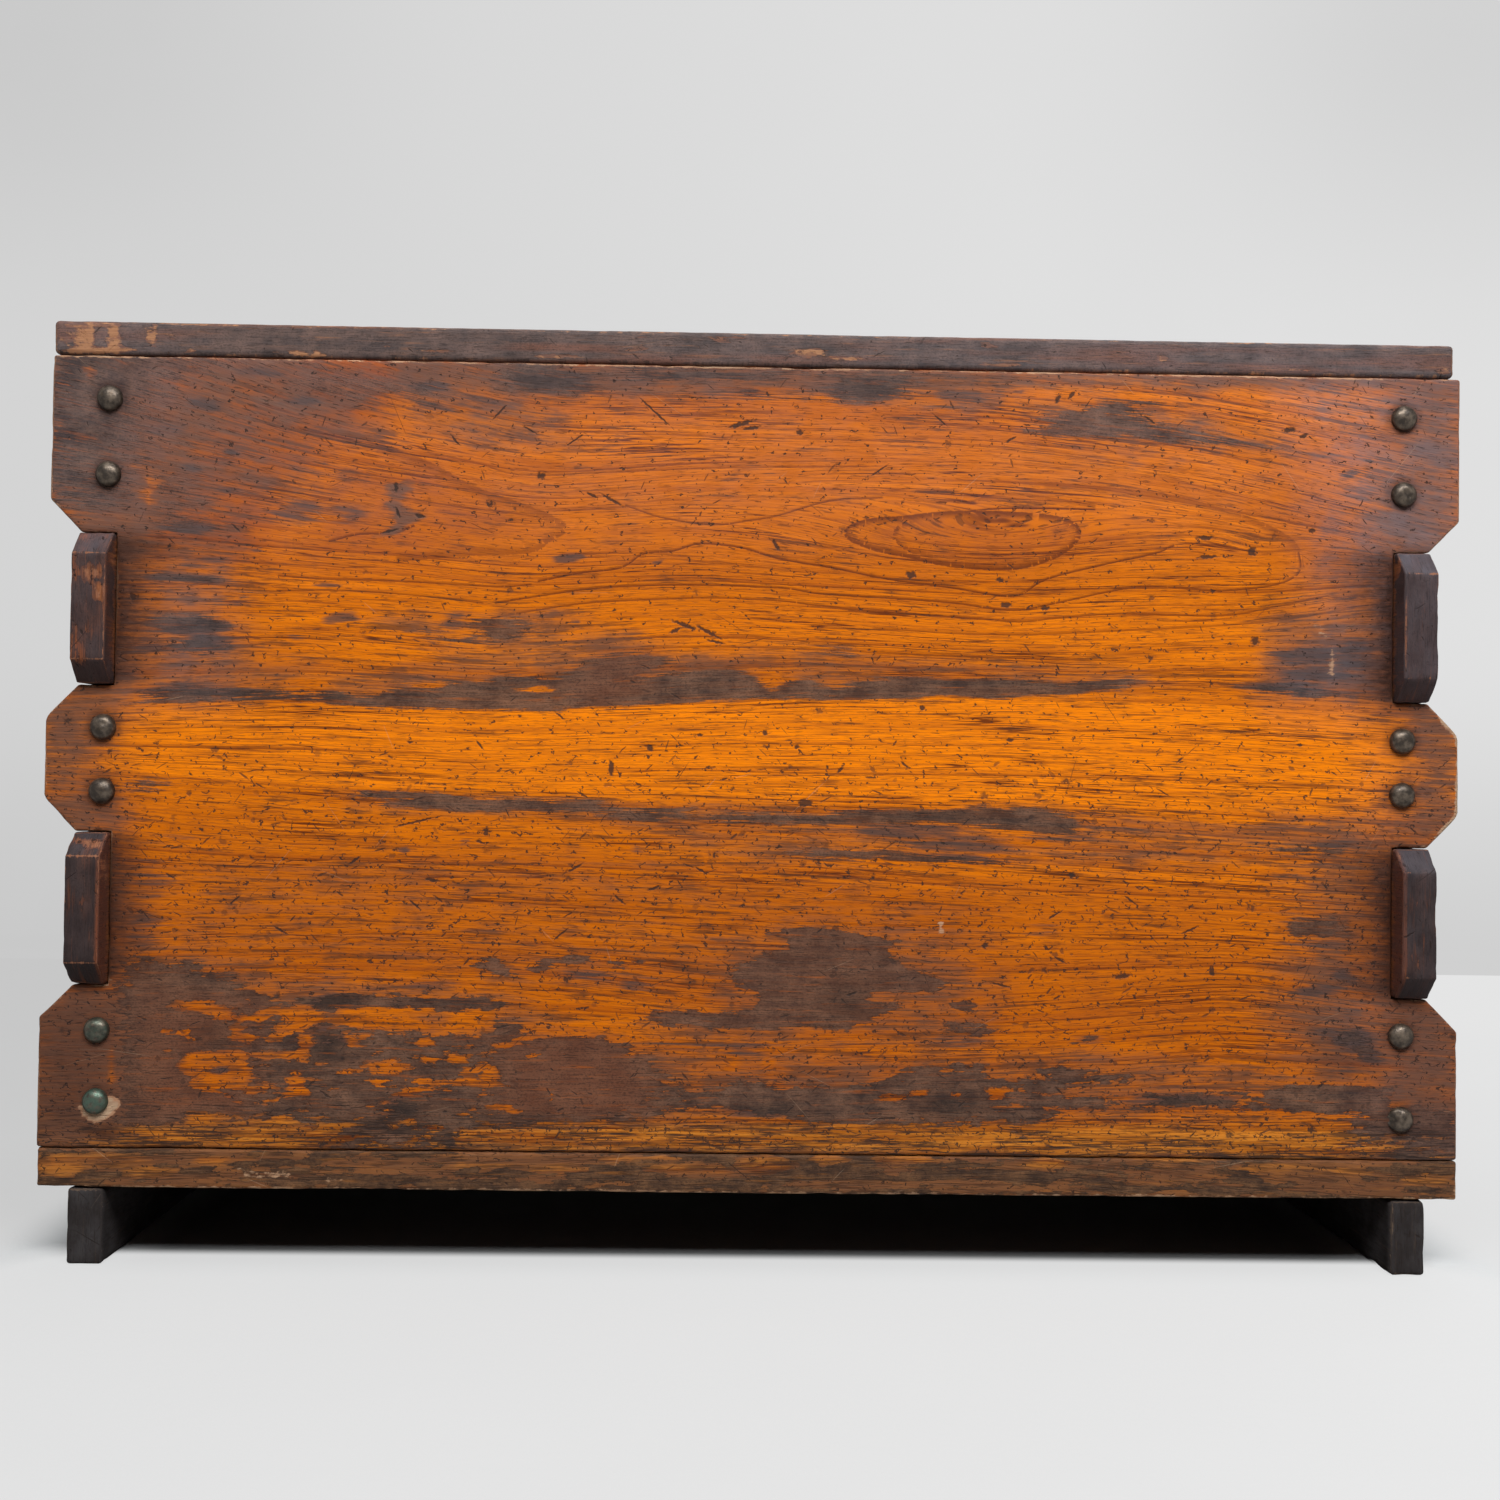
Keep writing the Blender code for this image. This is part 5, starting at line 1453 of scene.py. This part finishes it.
def add_front(material):
    board = wall_board("front_board", FRONT_FACE, INNER_FACE, FRONT_STEPS, 1)
    film, stain, pale, red, haze, smudge = front_coat(board.points)
    flat = board.points.copy()
    flat[:, 1] = FRONT_FACE
    rings = grain_rings(*to_frame(flat))
    facing = 1 - rise(board.w, FRONT_FACE + TURN_START, INNER_FACE - TURN_END)
    front = facing > 0.5
    inside = inner_face(board)
    tip = np.abs(board.normals[:, 0]) > TIP_NORMAL
    x, z = board.points[:, 0], board.points[:, 2]
    behind = board.w - FRONT_FACE
    ring = facing * (rings - TOP_RING) * PIXEL + (1 - facing) * (WALL_TOP - z)
    along = np.where(tip, behind, x)
    board.store("grain", along, np.where(tip, z, ring), haze)
    board.store("sheet", along, np.where(tip, z, z - behind), np.where(front, smudge, 0))
    board.store("coat", np.where(front, film, np.where(inside, 0, 0.75)),
                np.where(front, stain, np.where(inside, 0.25, 0.85)),
                np.where(front, front_tone(rings, x), 0.4))
    # Dirt and painted shade round the nails and beside the tenons.
    dirt = soot_and_shade(board.points) * (1 - 0.9 * rise(pale, 0.3, 0.8))
    board.store("use", front_wear(board, front, pale), np.where(front, dirt, 0.0),
                np.where(front, red, 0.5))
    front_strokes(board)
    board.show("box", "wall_wood", material, "front_board")


def add_back(material):
    board = wall_board("back_board", BACK_FACE, -INNER_FACE, BACK_STEPS, 21)
    generic_coat(board, 23, 0, 2, 1)
    board.show("box", "wall_wood", material, "back_board")


GRAIN_SHARE = 0.2               # the size of lumps across the grain, as a share of that along it
BEND, BEND_SIZE = 0.03, 0.08
STREAK_SIZE, TONE_SIZE, WIDE_SIZE = 0.035, 0.06, 0.22


def generic_coat(board, seed, along, across, through, film=0.5, stain=0.5, tone=0.45,
                 inside=(0.0, 0.2, 0.5), haze=0.03):
    """A coat worn at random, with bare wood in streaks. inside is the coat of the plain face."""
    points = board.points
    stretched = points.copy()
    stretched[:, along] *= GRAIN_SHARE
    tip = np.abs(board.normals[:, along]) > TIP_NORMAL
    place = np.where(tip, points[:, across], points[:, along])
    sheet = np.where(tip, points[:, through], points[:, across] + points[:, through])
    bend = BEND * (lumps(stretched, BEND_SIZE, seed + 1) - 0.5)
    streaks = rough_lumps(stretched, STREAK_SIZE, seed + 2, 4)
    clouds = rough_lumps(points, WIDE_SIZE, seed + 3)
    cover = film + 1.5 * (streaks - 0.5) + 0.9 * (clouds - 0.5)
    thin = stain + 1.1 * (clouds - 0.5) + 0.8 * (streaks - 0.5)
    bright = tone + 0.9 * (lumps(stretched, TONE_SIZE, seed + 4) - 0.5)
    plain = inner_face(board)
    # The third grain value is a painted sheen, a reflection painted into the colour, the same all over the
    # board.
    board.store("grain", place, sheet + np.where(plain | tip, 0, bend), haze)
    board.store("sheet", place, sheet, 0)
    board.store("coat", *(np.where(plain, bare, np.clip(coat, 0, 1))
                          for bare, coat in zip(inside, (cover, thin, bright))))
    board.store("use", worn_arrises(board, seed + 5), 0.0, 0.5 * np.clip(2 * clouds - 0.5, 0, 1))
    generic_strokes(board, seed)


def end_outline():
    """The outline of an end board in (y, z), with a chamfered tenon at each slot."""
    front = [(TENON_EDGE, WALL_BASE)]
    for low, high in tenon_levels(TENON_HEIGHT / 2):
        front += [(TENON_EDGE, low), (TENON_SHOULDER, low), (TENON_TIP, low + TENON_CHAMFER),
                  (TENON_TIP, high - TENON_CHAMFER), (TENON_SHOULDER, high), (TENON_EDGE, high)]
    front.append((TENON_EDGE, WALL_TOP))
    return front + [(-y, z) for y, z in reversed(front)]


END_STEPS = (0.006, 0.005, 0.0032)
TENON_STEPS = (0.0032, 0.0035)
# The painted sheen on each side's tenons, and how far they are mottled.
TENON_PAINTED_SHEEN = {"left": 0.032, "right": 0.062}
TENON_MOTTLE = {"left": 0.8, "right": 0.3}
BARED_DEPTH = 0.0022            # how far from their inner side the lower tenons are bare
PROUD_DEPTH = 0.002             # how far inside the slots the tenons' own coat starts
MOTTLE_SIZE, FILM_SIZE, TENON_DRIFT_SIZE = (0.011, 0.011, 0.018), (0.02, 0.02, 0.03), 0.01
END_CHIP = 0.0014


def end_lattice():
    """Lattice lines that follow the tenons of an end board."""
    tenon = [between(TENON_EDGE, TENON_SHOULDER, TENON_STEPS[0]),
             (TENON_SHOULDER, TENON_TIP, CHAMFER_STEPS)]
    mirrored = [(-end, -start, steps) for start, end, steps in reversed(tenon)]
    us = ruled(*mirrored, between(-TENON_EDGE, TENON_EDGE, END_STEPS[0]), *tenon)
    spans, level = [], WALL_BASE
    for low, high in tenon_levels(TENON_HEIGHT / 2):
        spans += [between(level, low, END_STEPS[1]), (low, low + TENON_CHAMFER, CHAMFER_STEPS),
                  between(low + TENON_CHAMFER, high - TENON_CHAMFER, TENON_STEPS[1]),
                  (high - TENON_CHAMFER, high, CHAMFER_STEPS)]
        level = high
    return us, ruled(*spans, between(level, WALL_TOP, END_STEPS[1]))


def tenon_coat(board, side, sign, seed):
    """Darker film on the tenons, rubbed through in places, and bare on the lower ones' inner side, with a
    painted sheen.
    """
    points = board.points
    x, y = to_frame(points)
    drift = BOB * (rough_lumps(points, TENON_DRIFT_SIZE, seed + 2) - 0.5)
    spots = spotted(x + drift, y + drift, TENON_RUBBED) * (points[:, 1] < 0)
    proud = np.abs(points[:, 1]) > -FRONT_FACE - PROUD_DEPTH
    lower = points[:, 2] < sum(TENON_CENTRES) / 2
    bared = proud & lower & (sign * points[:, 0] < END_INSIDE + BARED_DEPTH)
    mottle = rise(rough_lumps(points, MOTTLE_SIZE, seed + 7), 0.50, 0.72)
    mottle = mottle * TENON_MOTTLE[side]
    film = 0.95 - 0.25 * rough_lumps(points, FILM_SIZE, seed + 3)
    film = film * (1 - 0.9 * spots) * (1 - 0.55 * mottle)
    board.change("coat", proud, film, 0.95 * (1 - 0.5 * spots) * (1 - 0.45 * mottle), 0.4)
    wear = np.maximum(0.85 * worn_arrises(board, seed + 6, TENON_ARRIS_REACH), 0.55 * spots)
    board.change("use", proud, wear, 0, np.where(lower, 0.0, 0.16) + 0.5 * mottle)
    thin = 0.12 + 0.55 * rough_lumps(points, FILM_SIZE, seed + 4)
    board.change("coat", bared, thin, 0.85, 0.5)
    board.change("use", bared, None, None, 0.8)
    # A painted sheen, brighter on faces that look up and on the upper tenons, as if lit from above.
    haze = TENON_PAINTED_SHEEN[side] * (1 + 2.0 * np.clip(board.normals[:, 2], 0, 1))
    haze = haze * (0.4 + 0.6 * rise(points[:, 2], *TENON_CENTRES))
    board.change("grain", proud, None, None, haze)


def add_end(side, material, seed):
    sign = -1 if side == "left" else 1
    us, vs = end_lattice()
    ws = ruled(between(sign * END_OUTSIDE, sign * END_INSIDE, END_STEPS[2]))
    board = Board(side + "_end_board_visual", "yzx", us, vs, ws, end_outline(), END_ARRIS)
    board.weather(seed, chip=END_CHIP)
    generic_coat(board, seed + 1, 1, 2, 0, 0.62, 0.7)
    tenon_coat(board, side, sign, seed)
    board.show("box", "end_wood", material, side + "_end_board")


def slab(node, axes, fine_end, steps, arris, segments):
    """A rectangular board from a node's box, with its fine face at one end of w."""
    low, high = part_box(node)
    spans = [(low["xyz".index(axis)], high["xyz".index(axis)]) for axis in axes]
    if fine_end == "high":
        spans[2] = spans[2][::-1]
    (u0, u1), (v0, v1) = spans[:2]
    outline = [(u0, v0), (u1, v0), (u1, v1), (u0, v1)]
    us, vs, ws = (stepped(*span, step, ARRIS_MARGIN * arris) for span, step in zip(spans, steps))
    return Board(node + "_visual", axes, us, vs, ws, outline, arris, segments)


EDGE_DEPTH = 0.0025             # what counts as a plank's front edge
EDGE_DRIFT, EDGE_DRIFT_SIZE = 9, (0.006, 0.006, 0.005)


def edge_coat(board, seed, film, stain, haze):
    """A plank with a generic coat, and the places in the frame of its front edge, a little wavy."""
    # The painted sheen of the plank's coat.
    generic_coat(board, seed, 0, 1, 2, film, stain, haze=haze)
    front = board.points[:, 1] < FRONT_FACE + EDGE_DEPTH
    x, y = to_frame(board.points)
    drift = EDGE_DRIFT * (rough_lumps(board.points, EDGE_DRIFT_SIZE, seed) - 0.5)
    return front, x + drift, y + 0.5 * drift


LID_ARRIS, BOTTOM_ARRIS, RUNNER_ARRIS, BATTEN_ARRIS = 0.0032, 0.0017, 0.0026, 0.0014
# Seeds of the planks and their lattice steps along, across and through. The first shows its edge.
LID_PLANKS = {"lid_front_plank": (61, (0.004, 0.006, 0.0024)),
              "lid_back_plank": (71, (0.006, 0.008, 0.004))}
BOTTOM_PLANKS = {"bottom_front_plank": (81, (0.004, 0.015, 0.0028)),
                 "bottom_middle_plank": (85, (0.008, 0.015, 0.005)),
                 "bottom_back_plank": (89, (0.008, 0.015, 0.005))}
RUNNER_STEPS = (0.005, 0.005, 0.0046)
BATTEN_STEPS = (0.006, 0.005, 0.0044)
# Depth of the waves, depth of the chips and their reach from an arris.
LID_WEATHER = (0.0003, 0.0011, 0.005)
BOTTOM_WEATHER = (0.0003, 0.0013, 0.005)
RUNNER_WEATHER = (0.0005, 0.0016, 0.006)
LID_STREAKS, BOTTOM_STREAKS = (0.09, 0.02, 0.006), (0.045, 0.02, 0.006)
# Where along the lid's edge its painted sheen grows to the right and fades from the left, and a smudge
# grows.
LID_SHEEN_RIGHT, LID_SHEEN_LEFT, LID_SMUDGE = (-0.3, 0.4), (-0.42, -0.33), (0.15, 0.35)
UNDERSIDE = 0.002               # how far up a bottom plank its underside's coat reaches
BOTTOM_UPPER = (0.010, 0.018)   # heights between which its upper arris begins, less rubbed


def add_lid(material):
    for node, (seed, steps) in LID_PLANKS.items():
        board = slab(node, "xyz", "high", steps, LID_ARRIS, 4)
        board.weather(seed, *LID_WEATHER)
        front, x, y = edge_coat(board, seed, 0.72, 0.7, 0.045)
        if node == "lid_front_plank":
            spots = spotted(x, y, LID_RUBBED)
            streaks = rough_lumps(board.points, LID_STREAKS, 65)
            film = np.clip(0.86 + 0.6 * (streaks - 0.5), 0, 1) * (1 - 0.85 * spots)
            board.change("coat", front, film, 0.95 - 0.35 * spots, 0.3)
            along = board.points[:, 0]
            # A painted sheen along the lid's front edge.
            haze = 0.025 + 0.055 * rise(along, *LID_SHEEN_RIGHT) + 0.04 * (1 - rise(along, *LID_SHEEN_LEFT))
            board.change("grain", front, None, None, haze)
            board.change("sheet", front, None, None, 0.16 * rise(along, *LID_SMUDGE))
            wear = np.maximum(worn_arrises(board, 66, LID_ARRIS_REACH), 0.75 * spots)
            board.change("use", front, wear, 0, 0.9 * rise(streaks, 0.45, 0.7))
        board.show("lid", "lid_wood", material, node)


def add_bottom(material):
    for node, (seed, steps) in BOTTOM_PLANKS.items():
        board = slab(node, "xyz", "low", steps, BOTTOM_ARRIS, 3)
        board.weather(seed, *BOTTOM_WEATHER)
        front, x, y = edge_coat(board, seed, 0.55, 0.6, 0.0)
        base = board.ends[0]
        board.change("coat", board.w < base + UNDERSIDE, 0.9, 0.9, 0.2)
        if node == "bottom_front_plank":
            streaks = rough_lumps(board.points, BOTTOM_STREAKS, 83)
            spots = spotted(x, y, BOTTOM_RUBBED)
            film = np.clip(0.60 + 2.2 * (streaks - 0.5), 0, 1) * (1 - 0.85 * spots)
            board.change("coat", front, film, 0.85 - 0.4 * spots, 0.35)
            upper = rise(board.points[:, 2] - base, *BOTTOM_UPPER)
            wear = (1 - 0.8 * upper) * worn_arrises(board, 84, BOTTOM_ARRIS_REACH)
            board.change("use", front, np.maximum(wear, painted(x, y, PALE_AREAS)), 0, 0)
        board.show("box", "bottom_wood", material, node)


def add_runners(material):
    for node, fine_end, seed in (("left_runner", "low", 91), ("right_runner", "high", 95)):
        board = slab(node, "yzx", fine_end, RUNNER_STEPS, RUNNER_ARRIS, 3)
        board.weather(seed, *RUNNER_WEATHER)
        generic_coat(board, seed, 1, 2, 0, 0.95, 0.95, 0.3, (0.92, 0.95, 0.3))
        board.change("use", slice(None), None, None, 0)
        board.show("box", "runner_wood", material, node)


def add_battens(material):
    for node, seed in (("left_lid_batten", 101), ("right_lid_batten", 105)):
        board = slab(node, "yxz", "low", BATTEN_STEPS, BATTEN_ARRIS, 2)
        board.weather(seed)
        generic_coat(board, seed, 1, 0, 2, 0.1, 0.2, 0.6)
        board.show("lid", "batten_wood", material, node)


# Nails.

NAIL_SECTORS = 36
NAIL_RINGS = 12
NAIL_RADIUS = 0.0086
NAIL_HEIGHT = 0.0064
NAIL_SINK = 0.0004              # how deep a head's rim lies in the wood
DOME_POWERS = (0.9, 0.85)       # below 1 for a dome fuller than a ball, across and outward
UNEVEN_SIZE, LEAN_SIZE = 0.7, 1.6   # in head radii
# Heads that are damaged: pits as place across and up, half size and depth, in head radii.
NAIL_PITS = {
    "front_right_nail_5": ((0.05, 0.05, 0.22, 0.22), (0.28, -0.22, 0.16, 0.18)),
    "front_right_nail_1": ((-0.75, -0.05, 0.42, 0.60), (-0.35, 0.5, 0.2, 0.15)),
    "front_right_nail_2": ((0.0, 0.0, 0.10, -0.10),),
    "front_left_nail_4": ((0.2, 0.25, 0.2, 0.10),),
}
NAIL_GREEN = {"front_left_nail_2": 0.35, "front_left_nail_1": 0.8}


def nail_shape(node, seed):
    """Points of a hand-forged dome, a little uneven: across, up and outward, in head radii."""
    angles = np.pi / 2 * np.arange(NAIL_RINGS) / NAIL_RINGS
    turns = 2 * np.pi * np.arange(NAIL_SECTORS) / NAIL_SECTORS
    radii, heights = np.cos(angles) ** DOME_POWERS[0], np.sin(angles) ** DOME_POWERS[1]
    rings = np.stack([np.outer(radii, np.cos(turns)), np.outer(radii, np.sin(turns)),
                      np.outer(heights, np.ones(NAIL_SECTORS))], axis=2)
    shape = np.concatenate([rings.reshape(-1, 3), [(0.0, 0.0, 1.0)]])
    uneven = rough_lumps(shape + seed * 3.1, UNEVEN_SIZE, seed)
    lean = lumps(shape + seed, LEAN_SIZE, seed + 1)
    shape = shape * (1 - 0.03 * uneven - 0.04 * lean)[:, None]
    for px, pz, size, depth in NAIL_PITS.get(node, ()):
        reach = np.hypot(shape[:, 0] - px, shape[:, 1] - pz) / size
        shape[:, 2] -= depth * np.exp(-reach ** 2) * np.minimum(1, shape[:, 2] * 2)
    return shape


def add_nail(node, seed, material):
    """A dome head on the face that it was driven into."""
    low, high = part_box(node)
    outward, face = (-1.0, FRONT_FACE) if node.startswith("front") else (1.0, BACK_FACE)
    middle = Vector(((low.x + high.x) / 2, face, (low.z + high.z) / 2))
    bm = bmesh.new()
    verts = [bm.verts.new(middle + Vector((x * NAIL_RADIUS, outward * (h * NAIL_HEIGHT - NAIL_SINK),
                                           z * NAIL_RADIUS))) for x, z, h in nail_shape(node, seed)]
    rings = [verts[k * NAIL_SECTORS:(k + 1) * NAIL_SECTORS] for k in range(NAIL_RINGS)]
    sectors = [(s, (s + 1) % NAIL_SECTORS) for s in range(NAIL_SECTORS)]
    for below, above in zip(rings, rings[1:]):
        for s, t in sectors:
            bm.faces.new((below[s], below[t], above[t], above[s]))
    for s, t in sectors:
        bm.faces.new((rings[-1][s], rings[-1][t], verts[-1]))
    bm.faces.new(rings[0][::-1])
    bmesh.ops.recalc_face_normals(bm, faces=bm.faces[:])
    mesh = bpy.data.meshes.new(node + "_visual")
    bm.to_mesh(mesh)
    bm.free()
    mesh.shade_smooth()
    layer = mesh.attributes.new("use", "FLOAT_VECTOR", "POINT")
    layer.data.foreach_set("vector", [NAIL_GREEN.get(node, 0.0), 0.0, 0.0] * len(mesh.vertices))
    stand_in(mesh, "box", material, node)


def add_nails(material):
    places = itertools.product(("front", "back"), ("left", "right"), range(1, 7))
    for seed, (wall, side, k) in enumerate(places, 1):
        add_nail(f"{wall}_{side}_nail_{k}", seed, material)


# Stage and lights.

BACKDROP_LEVEL = 0.71
AMBIENT_LEVEL = 0.05
WALL_DISTANCE = 2.3
WALL_LINE = 1.75                # where the floor turns into the wall's tone
SHADOW_EDGE = -0.183            # where the painted light on the floor in front of the box starts, which ends the dark under it
SHADOW_SOFT = 0.02
SHADOW_SIDES, SHADOW_SPREAD = (0.42, 0.56), 0.16   # beside the box, that edge is softer
# Where the shadow painted on the floor under the box grows, in from its sides, and from its front and
# back.
PAINTED_SHADOW_ASIDE, PAINTED_SHADOW_ALONG = (0.44, 0.38), (0.26, 0.19)
# Where the floor takes on a plain level: away from the middle, and beside the box, where that painted
# light covers the box's shadow.
PLAIN_AWAY, PLAIN_BESIDE = (0.46, 1.5), (0.445, 0.51)
# Where the wall's painted light grows upwards and to the right, and where its upper corners get painted
# shade.
WALL_RISE, WALL_RIGHT = (-0.1, 0.65), (-1.6, 1.2)
CORNER_ASIDE, CORNER_ABOVE = (0.5, 1.5), (1.1, 1.9)
FLOOR_RIGHT = (-1.0, 1.0)       # where the painted light on the floor grows to the right
FLOOR_BOUNCE = (0.34, 0.34, 0.34)      # what the floor throws back on the object
FLOOR_BUMP = (0.15, 0.002)
FLOOR_TONES = (0.595, 0.618, 0.628), (0.648, 0.672, 0.682)
STAGE_HALF = 12.0


def seen_directly(g):
    """One for rays from the camera, or from a mirror or glass that shows the stage."""
    path = g.node("LightPath", {})
    return g.most(*(Value(g, path[f"Is {kind} Ray"]) for kind in ("Camera", "Glossy", "Transmission")))


def glowing(g, share, level):
    """Let a material show a plain pale level, by a share, to what sees it directly."""
    glow = g.value("Emission", {"Color": level, "Strength": 1.0})
    shown = g.value("MixShader", {0: share * seen_directly(g), 1: Value(g, g.shader.outputs[0]), 2: glow})
    g.fill(g.tree.nodes["Material Output"], {"Surface": shown})


def stage_plane(name, corners, material):
    mesh = bpy.data.meshes.new(name)
    mesh.from_pydata(corners, [], [(0, 1, 2, 3)])
    mesh.materials.append(material)
    plane = bpy.data.objects.new(name, mesh)
    bpy.context.scene.collection.objects.link(plane)


def grey(level):
    return (level,) * 3


def wall_level(g, place):
    """The painted light of the wall at each place, lighter upwards and to the right and darker in its
    upper corners, also where the floor ends in it.
    """
    clouds = g.noise(place, (1.3,) * 3, 7.0, 4.0, 0.6)
    aside, _, above = g.parts(place)
    level = g.mix(g.step(above, *WALL_RISE), grey(0.62), grey(0.755))
    level = g.mix(g.step(aside, *WALL_RIGHT, 0.40, 0.0), level, grey(0.50))
    corner = g.step(abs(aside), *CORNER_ASIDE) * g.step(above, *CORNER_ABOVE)
    level = g.mix(corner * 0.35, level, grey(0.45))
    return g.mix(g.step(clouds, 0.3, 0.7, 0.0, 0.15), level, grey(0.68))


def floor_glow(g, place):
    """By what share the floor shows a plain pale level at each place, and that level: painted light,
    brighter to the right and in front of the box.
    """
    aside, along, _ = g.parts(place)
    away = g.vector("LENGTH", g.vector("MULTIPLY", place, (1, 1, 0)))
    rightward = g.step(aside, *FLOOR_RIGHT)
    spread = g.step(abs(aside), *SHADOW_SIDES, 0.0, SHADOW_SPREAD)
    before = g.step(along, spread + SHADOW_EDGE, SHADOW_EDGE - SHADOW_SOFT - spread)
    behind = g.math("GREATER_THAN", along, WALL_LINE)
    level = g.mix(rightward, grey(0.57), grey(0.78))
    level = g.mix(before, level, g.mix(rightward, grey(0.72), grey(0.83)))
    level = g.mix(behind, level, wall_level(g, place))
    beside = g.step(abs(aside), *PLAIN_BESIDE, 0.0, 0.93)
    return g.most(g.step(away, *PLAIN_AWAY), beside, before * 0.85, behind), level


def add_floor():
    g = Graph(bpy.data.materials.new("pale_floor"))
    place = g.value("TexCoord", {}, "Object")
    clouds = g.noise(place, (2.2,) * 3, 3.0, 5.0, 0.6)
    grit = g.noise(place, (160,) * 3, 5.0, 3.0, 0.6)
    colour = g.mix(g.step(clouds, 0.3, 0.7), *FLOOR_TONES)
    colour = g.mix(g.step(grit, 0.60, 0.80, 0.0, 0.12), colour, grey(0.48))
    aside, along = g.parts(place)[:2]
    # A shadow painted on the floor under the box.
    painted_shadow = g.step(abs(aside), *PAINTED_SHADOW_ASIDE) * g.step(abs(along), *PAINTED_SHADOW_ALONG)
    colour = g.mix(painted_shadow * 0.7, colour, grey(0.03))
    colour = g.mix(seen_directly(g), FLOOR_BOUNCE, colour)
    floor = g.finish(colour, 0.7, grit, *FLOOR_BUMP, **{"Specular IOR Level": 0.0})
    glowing(g, *floor_glow(g, place))
    half = STAGE_HALF
    stage_plane("floor", [(-half, -half, 0), (half, -half, 0), (half, half, 0), (-half, half, 0)], floor)


def add_wall():
    g = Graph(bpy.data.materials.new("pale_wall"))
    g.fill(g.shader, {"Base Color": (0.75, 0.75, 0.75, 1), "Roughness": 0.8})
    glowing(g, 1.0, wall_level(g, g.value("TexCoord", {}, "Object")))
    half, y = STAGE_HALF, WALL_DISTANCE
    stage_plane("wall", [(-half, y, 0), (half, y, 0), (half, y, half), (-half, y, half)], g.owner)


def add_world():
    world = bpy.data.worlds.new("studio")
    bpy.context.scene.world = world
    g = Graph(world)
    g.tree.nodes.clear()
    light = g.value("Background", {"Color": (1, 1, 1, 1), "Strength": AMBIENT_LEVEL})
    backdrop = g.value("Background", {"Color": (*grey(BACKDROP_LEVEL), 1), "Strength": 1.0})
    g.node("OutputWorld", {0: g.value("MixShader", {0: seen_directly(g), 1: light, 2: backdrop})})


def add_light(name, place, target, size, watts):
    data = bpy.data.lights.new(name, "AREA")
    data.shape = "RECTANGLE"
    data.size, data.size_y = size
    data.energy = watts
    lamp = bpy.data.objects.new(name, data)
    lamp.location = place
    lamp.rotation_euler = (Vector(target) - Vector(place)).to_track_quat("-Z", "Y").to_euler()
    bpy.context.scene.collection.objects.link(lamp)


# Everything.

add_camera()
add_floor()
add_wall()
add_world()
add_light("key", (0.25, -2.25, 2.5), (0.05, 0, 0.3), (2.9, 0.9), 123)
add_light("overhead", (0.0, 0.2, 3.2), (0, 0, 0.3), (2.5, 2.5), 36)
add_light("back_fill", (1.3, 2.0, 2.5), (0, 0, 0.3), (2.0, 1.4), 34)

front_wood = wood("front_lacquer", 2.0, veined=True)
board_wood = wood("board_lacquer", 31.0)
bottom_wood = wood("bottom_lacquer", 37.0, amber=(0.72, 0.27, 0.05), orange=(0.40, 0.135, 0.018),
                   film_dark=(0.032, 0.022, 0.018), film_warm=(0.200, 0.098, 0.046), cracked=0.65)
end_wood = wood("end_lacquer", 47.0, film_dark=(0.020, 0.016, 0.017), film_warm=(0.044, 0.030, 0.028),
                amber=(0.40, 0.14, 0.03), orange=(0.20, 0.055, 0.012), pale=(0.34, 0.16, 0.095))
lid_wood = wood("lid_lacquer", 59.0, amber=(0.52, 0.25, 0.10), orange=(0.36, 0.14, 0.05),
                film_dark=(0.058, 0.046, 0.044), film_warm=(0.160, 0.098, 0.076), pale=(0.46, 0.24, 0.13))
runner_wood = wood("runner_lacquer", 67.0, amber=(0.14, 0.08, 0.04), orange=(0.08, 0.05, 0.03),
                   film_dark=(0.019, 0.0175, 0.016), film_warm=(0.038, 0.035, 0.032),
                   pale=(0.19, 0.14, 0.10), roughness=0.6, specular=0.0)
raw_wood = wood("bare_batten", 79.0, amber=(0.50, 0.27, 0.11), orange=(0.33, 0.16, 0.06),
                roughness=0.62)
dome_iron = iron("dome_nail_metal", 5.0, (0.034, 0.026, 0.020), (0.130, 0.100, 0.074),
                 (0.062, 0.112, 0.084), (0.060, 0.038, 0.022))
flat_iron = iron("flat_nail_metal", 9.0, (0.030, 0.022, 0.018), (0.09, 0.075, 0.06), None,
                 (0.13, 0.05, 0.02))

add_front(front_wood)
add_back(board_wood)
add_end("left", end_wood, 41)
add_end("right", end_wood, 51)
add_lid(lid_wood)
add_bottom(bottom_wood)
add_runners(runner_wood)
add_battens(raw_wood)
add_nails(dome_iron)

# The flat nails keep the shape that they have in the frame.
FLAT_NAILS = ("batten_nail", "bottom_front_nail", "bottom_back_nail", "runner_front_nail",
              "runner_middle_nail", "runner_back_nail")
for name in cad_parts:
    if any(part in name for part in FLAT_NAILS):
        thing = bpy.data.objects[name]
        thing.data.materials.clear()
        thing.data.materials.append(flat_iron)

bpy.context.scene.view_settings.view_transform = "Standard"

bpy.context.view_layer.update()
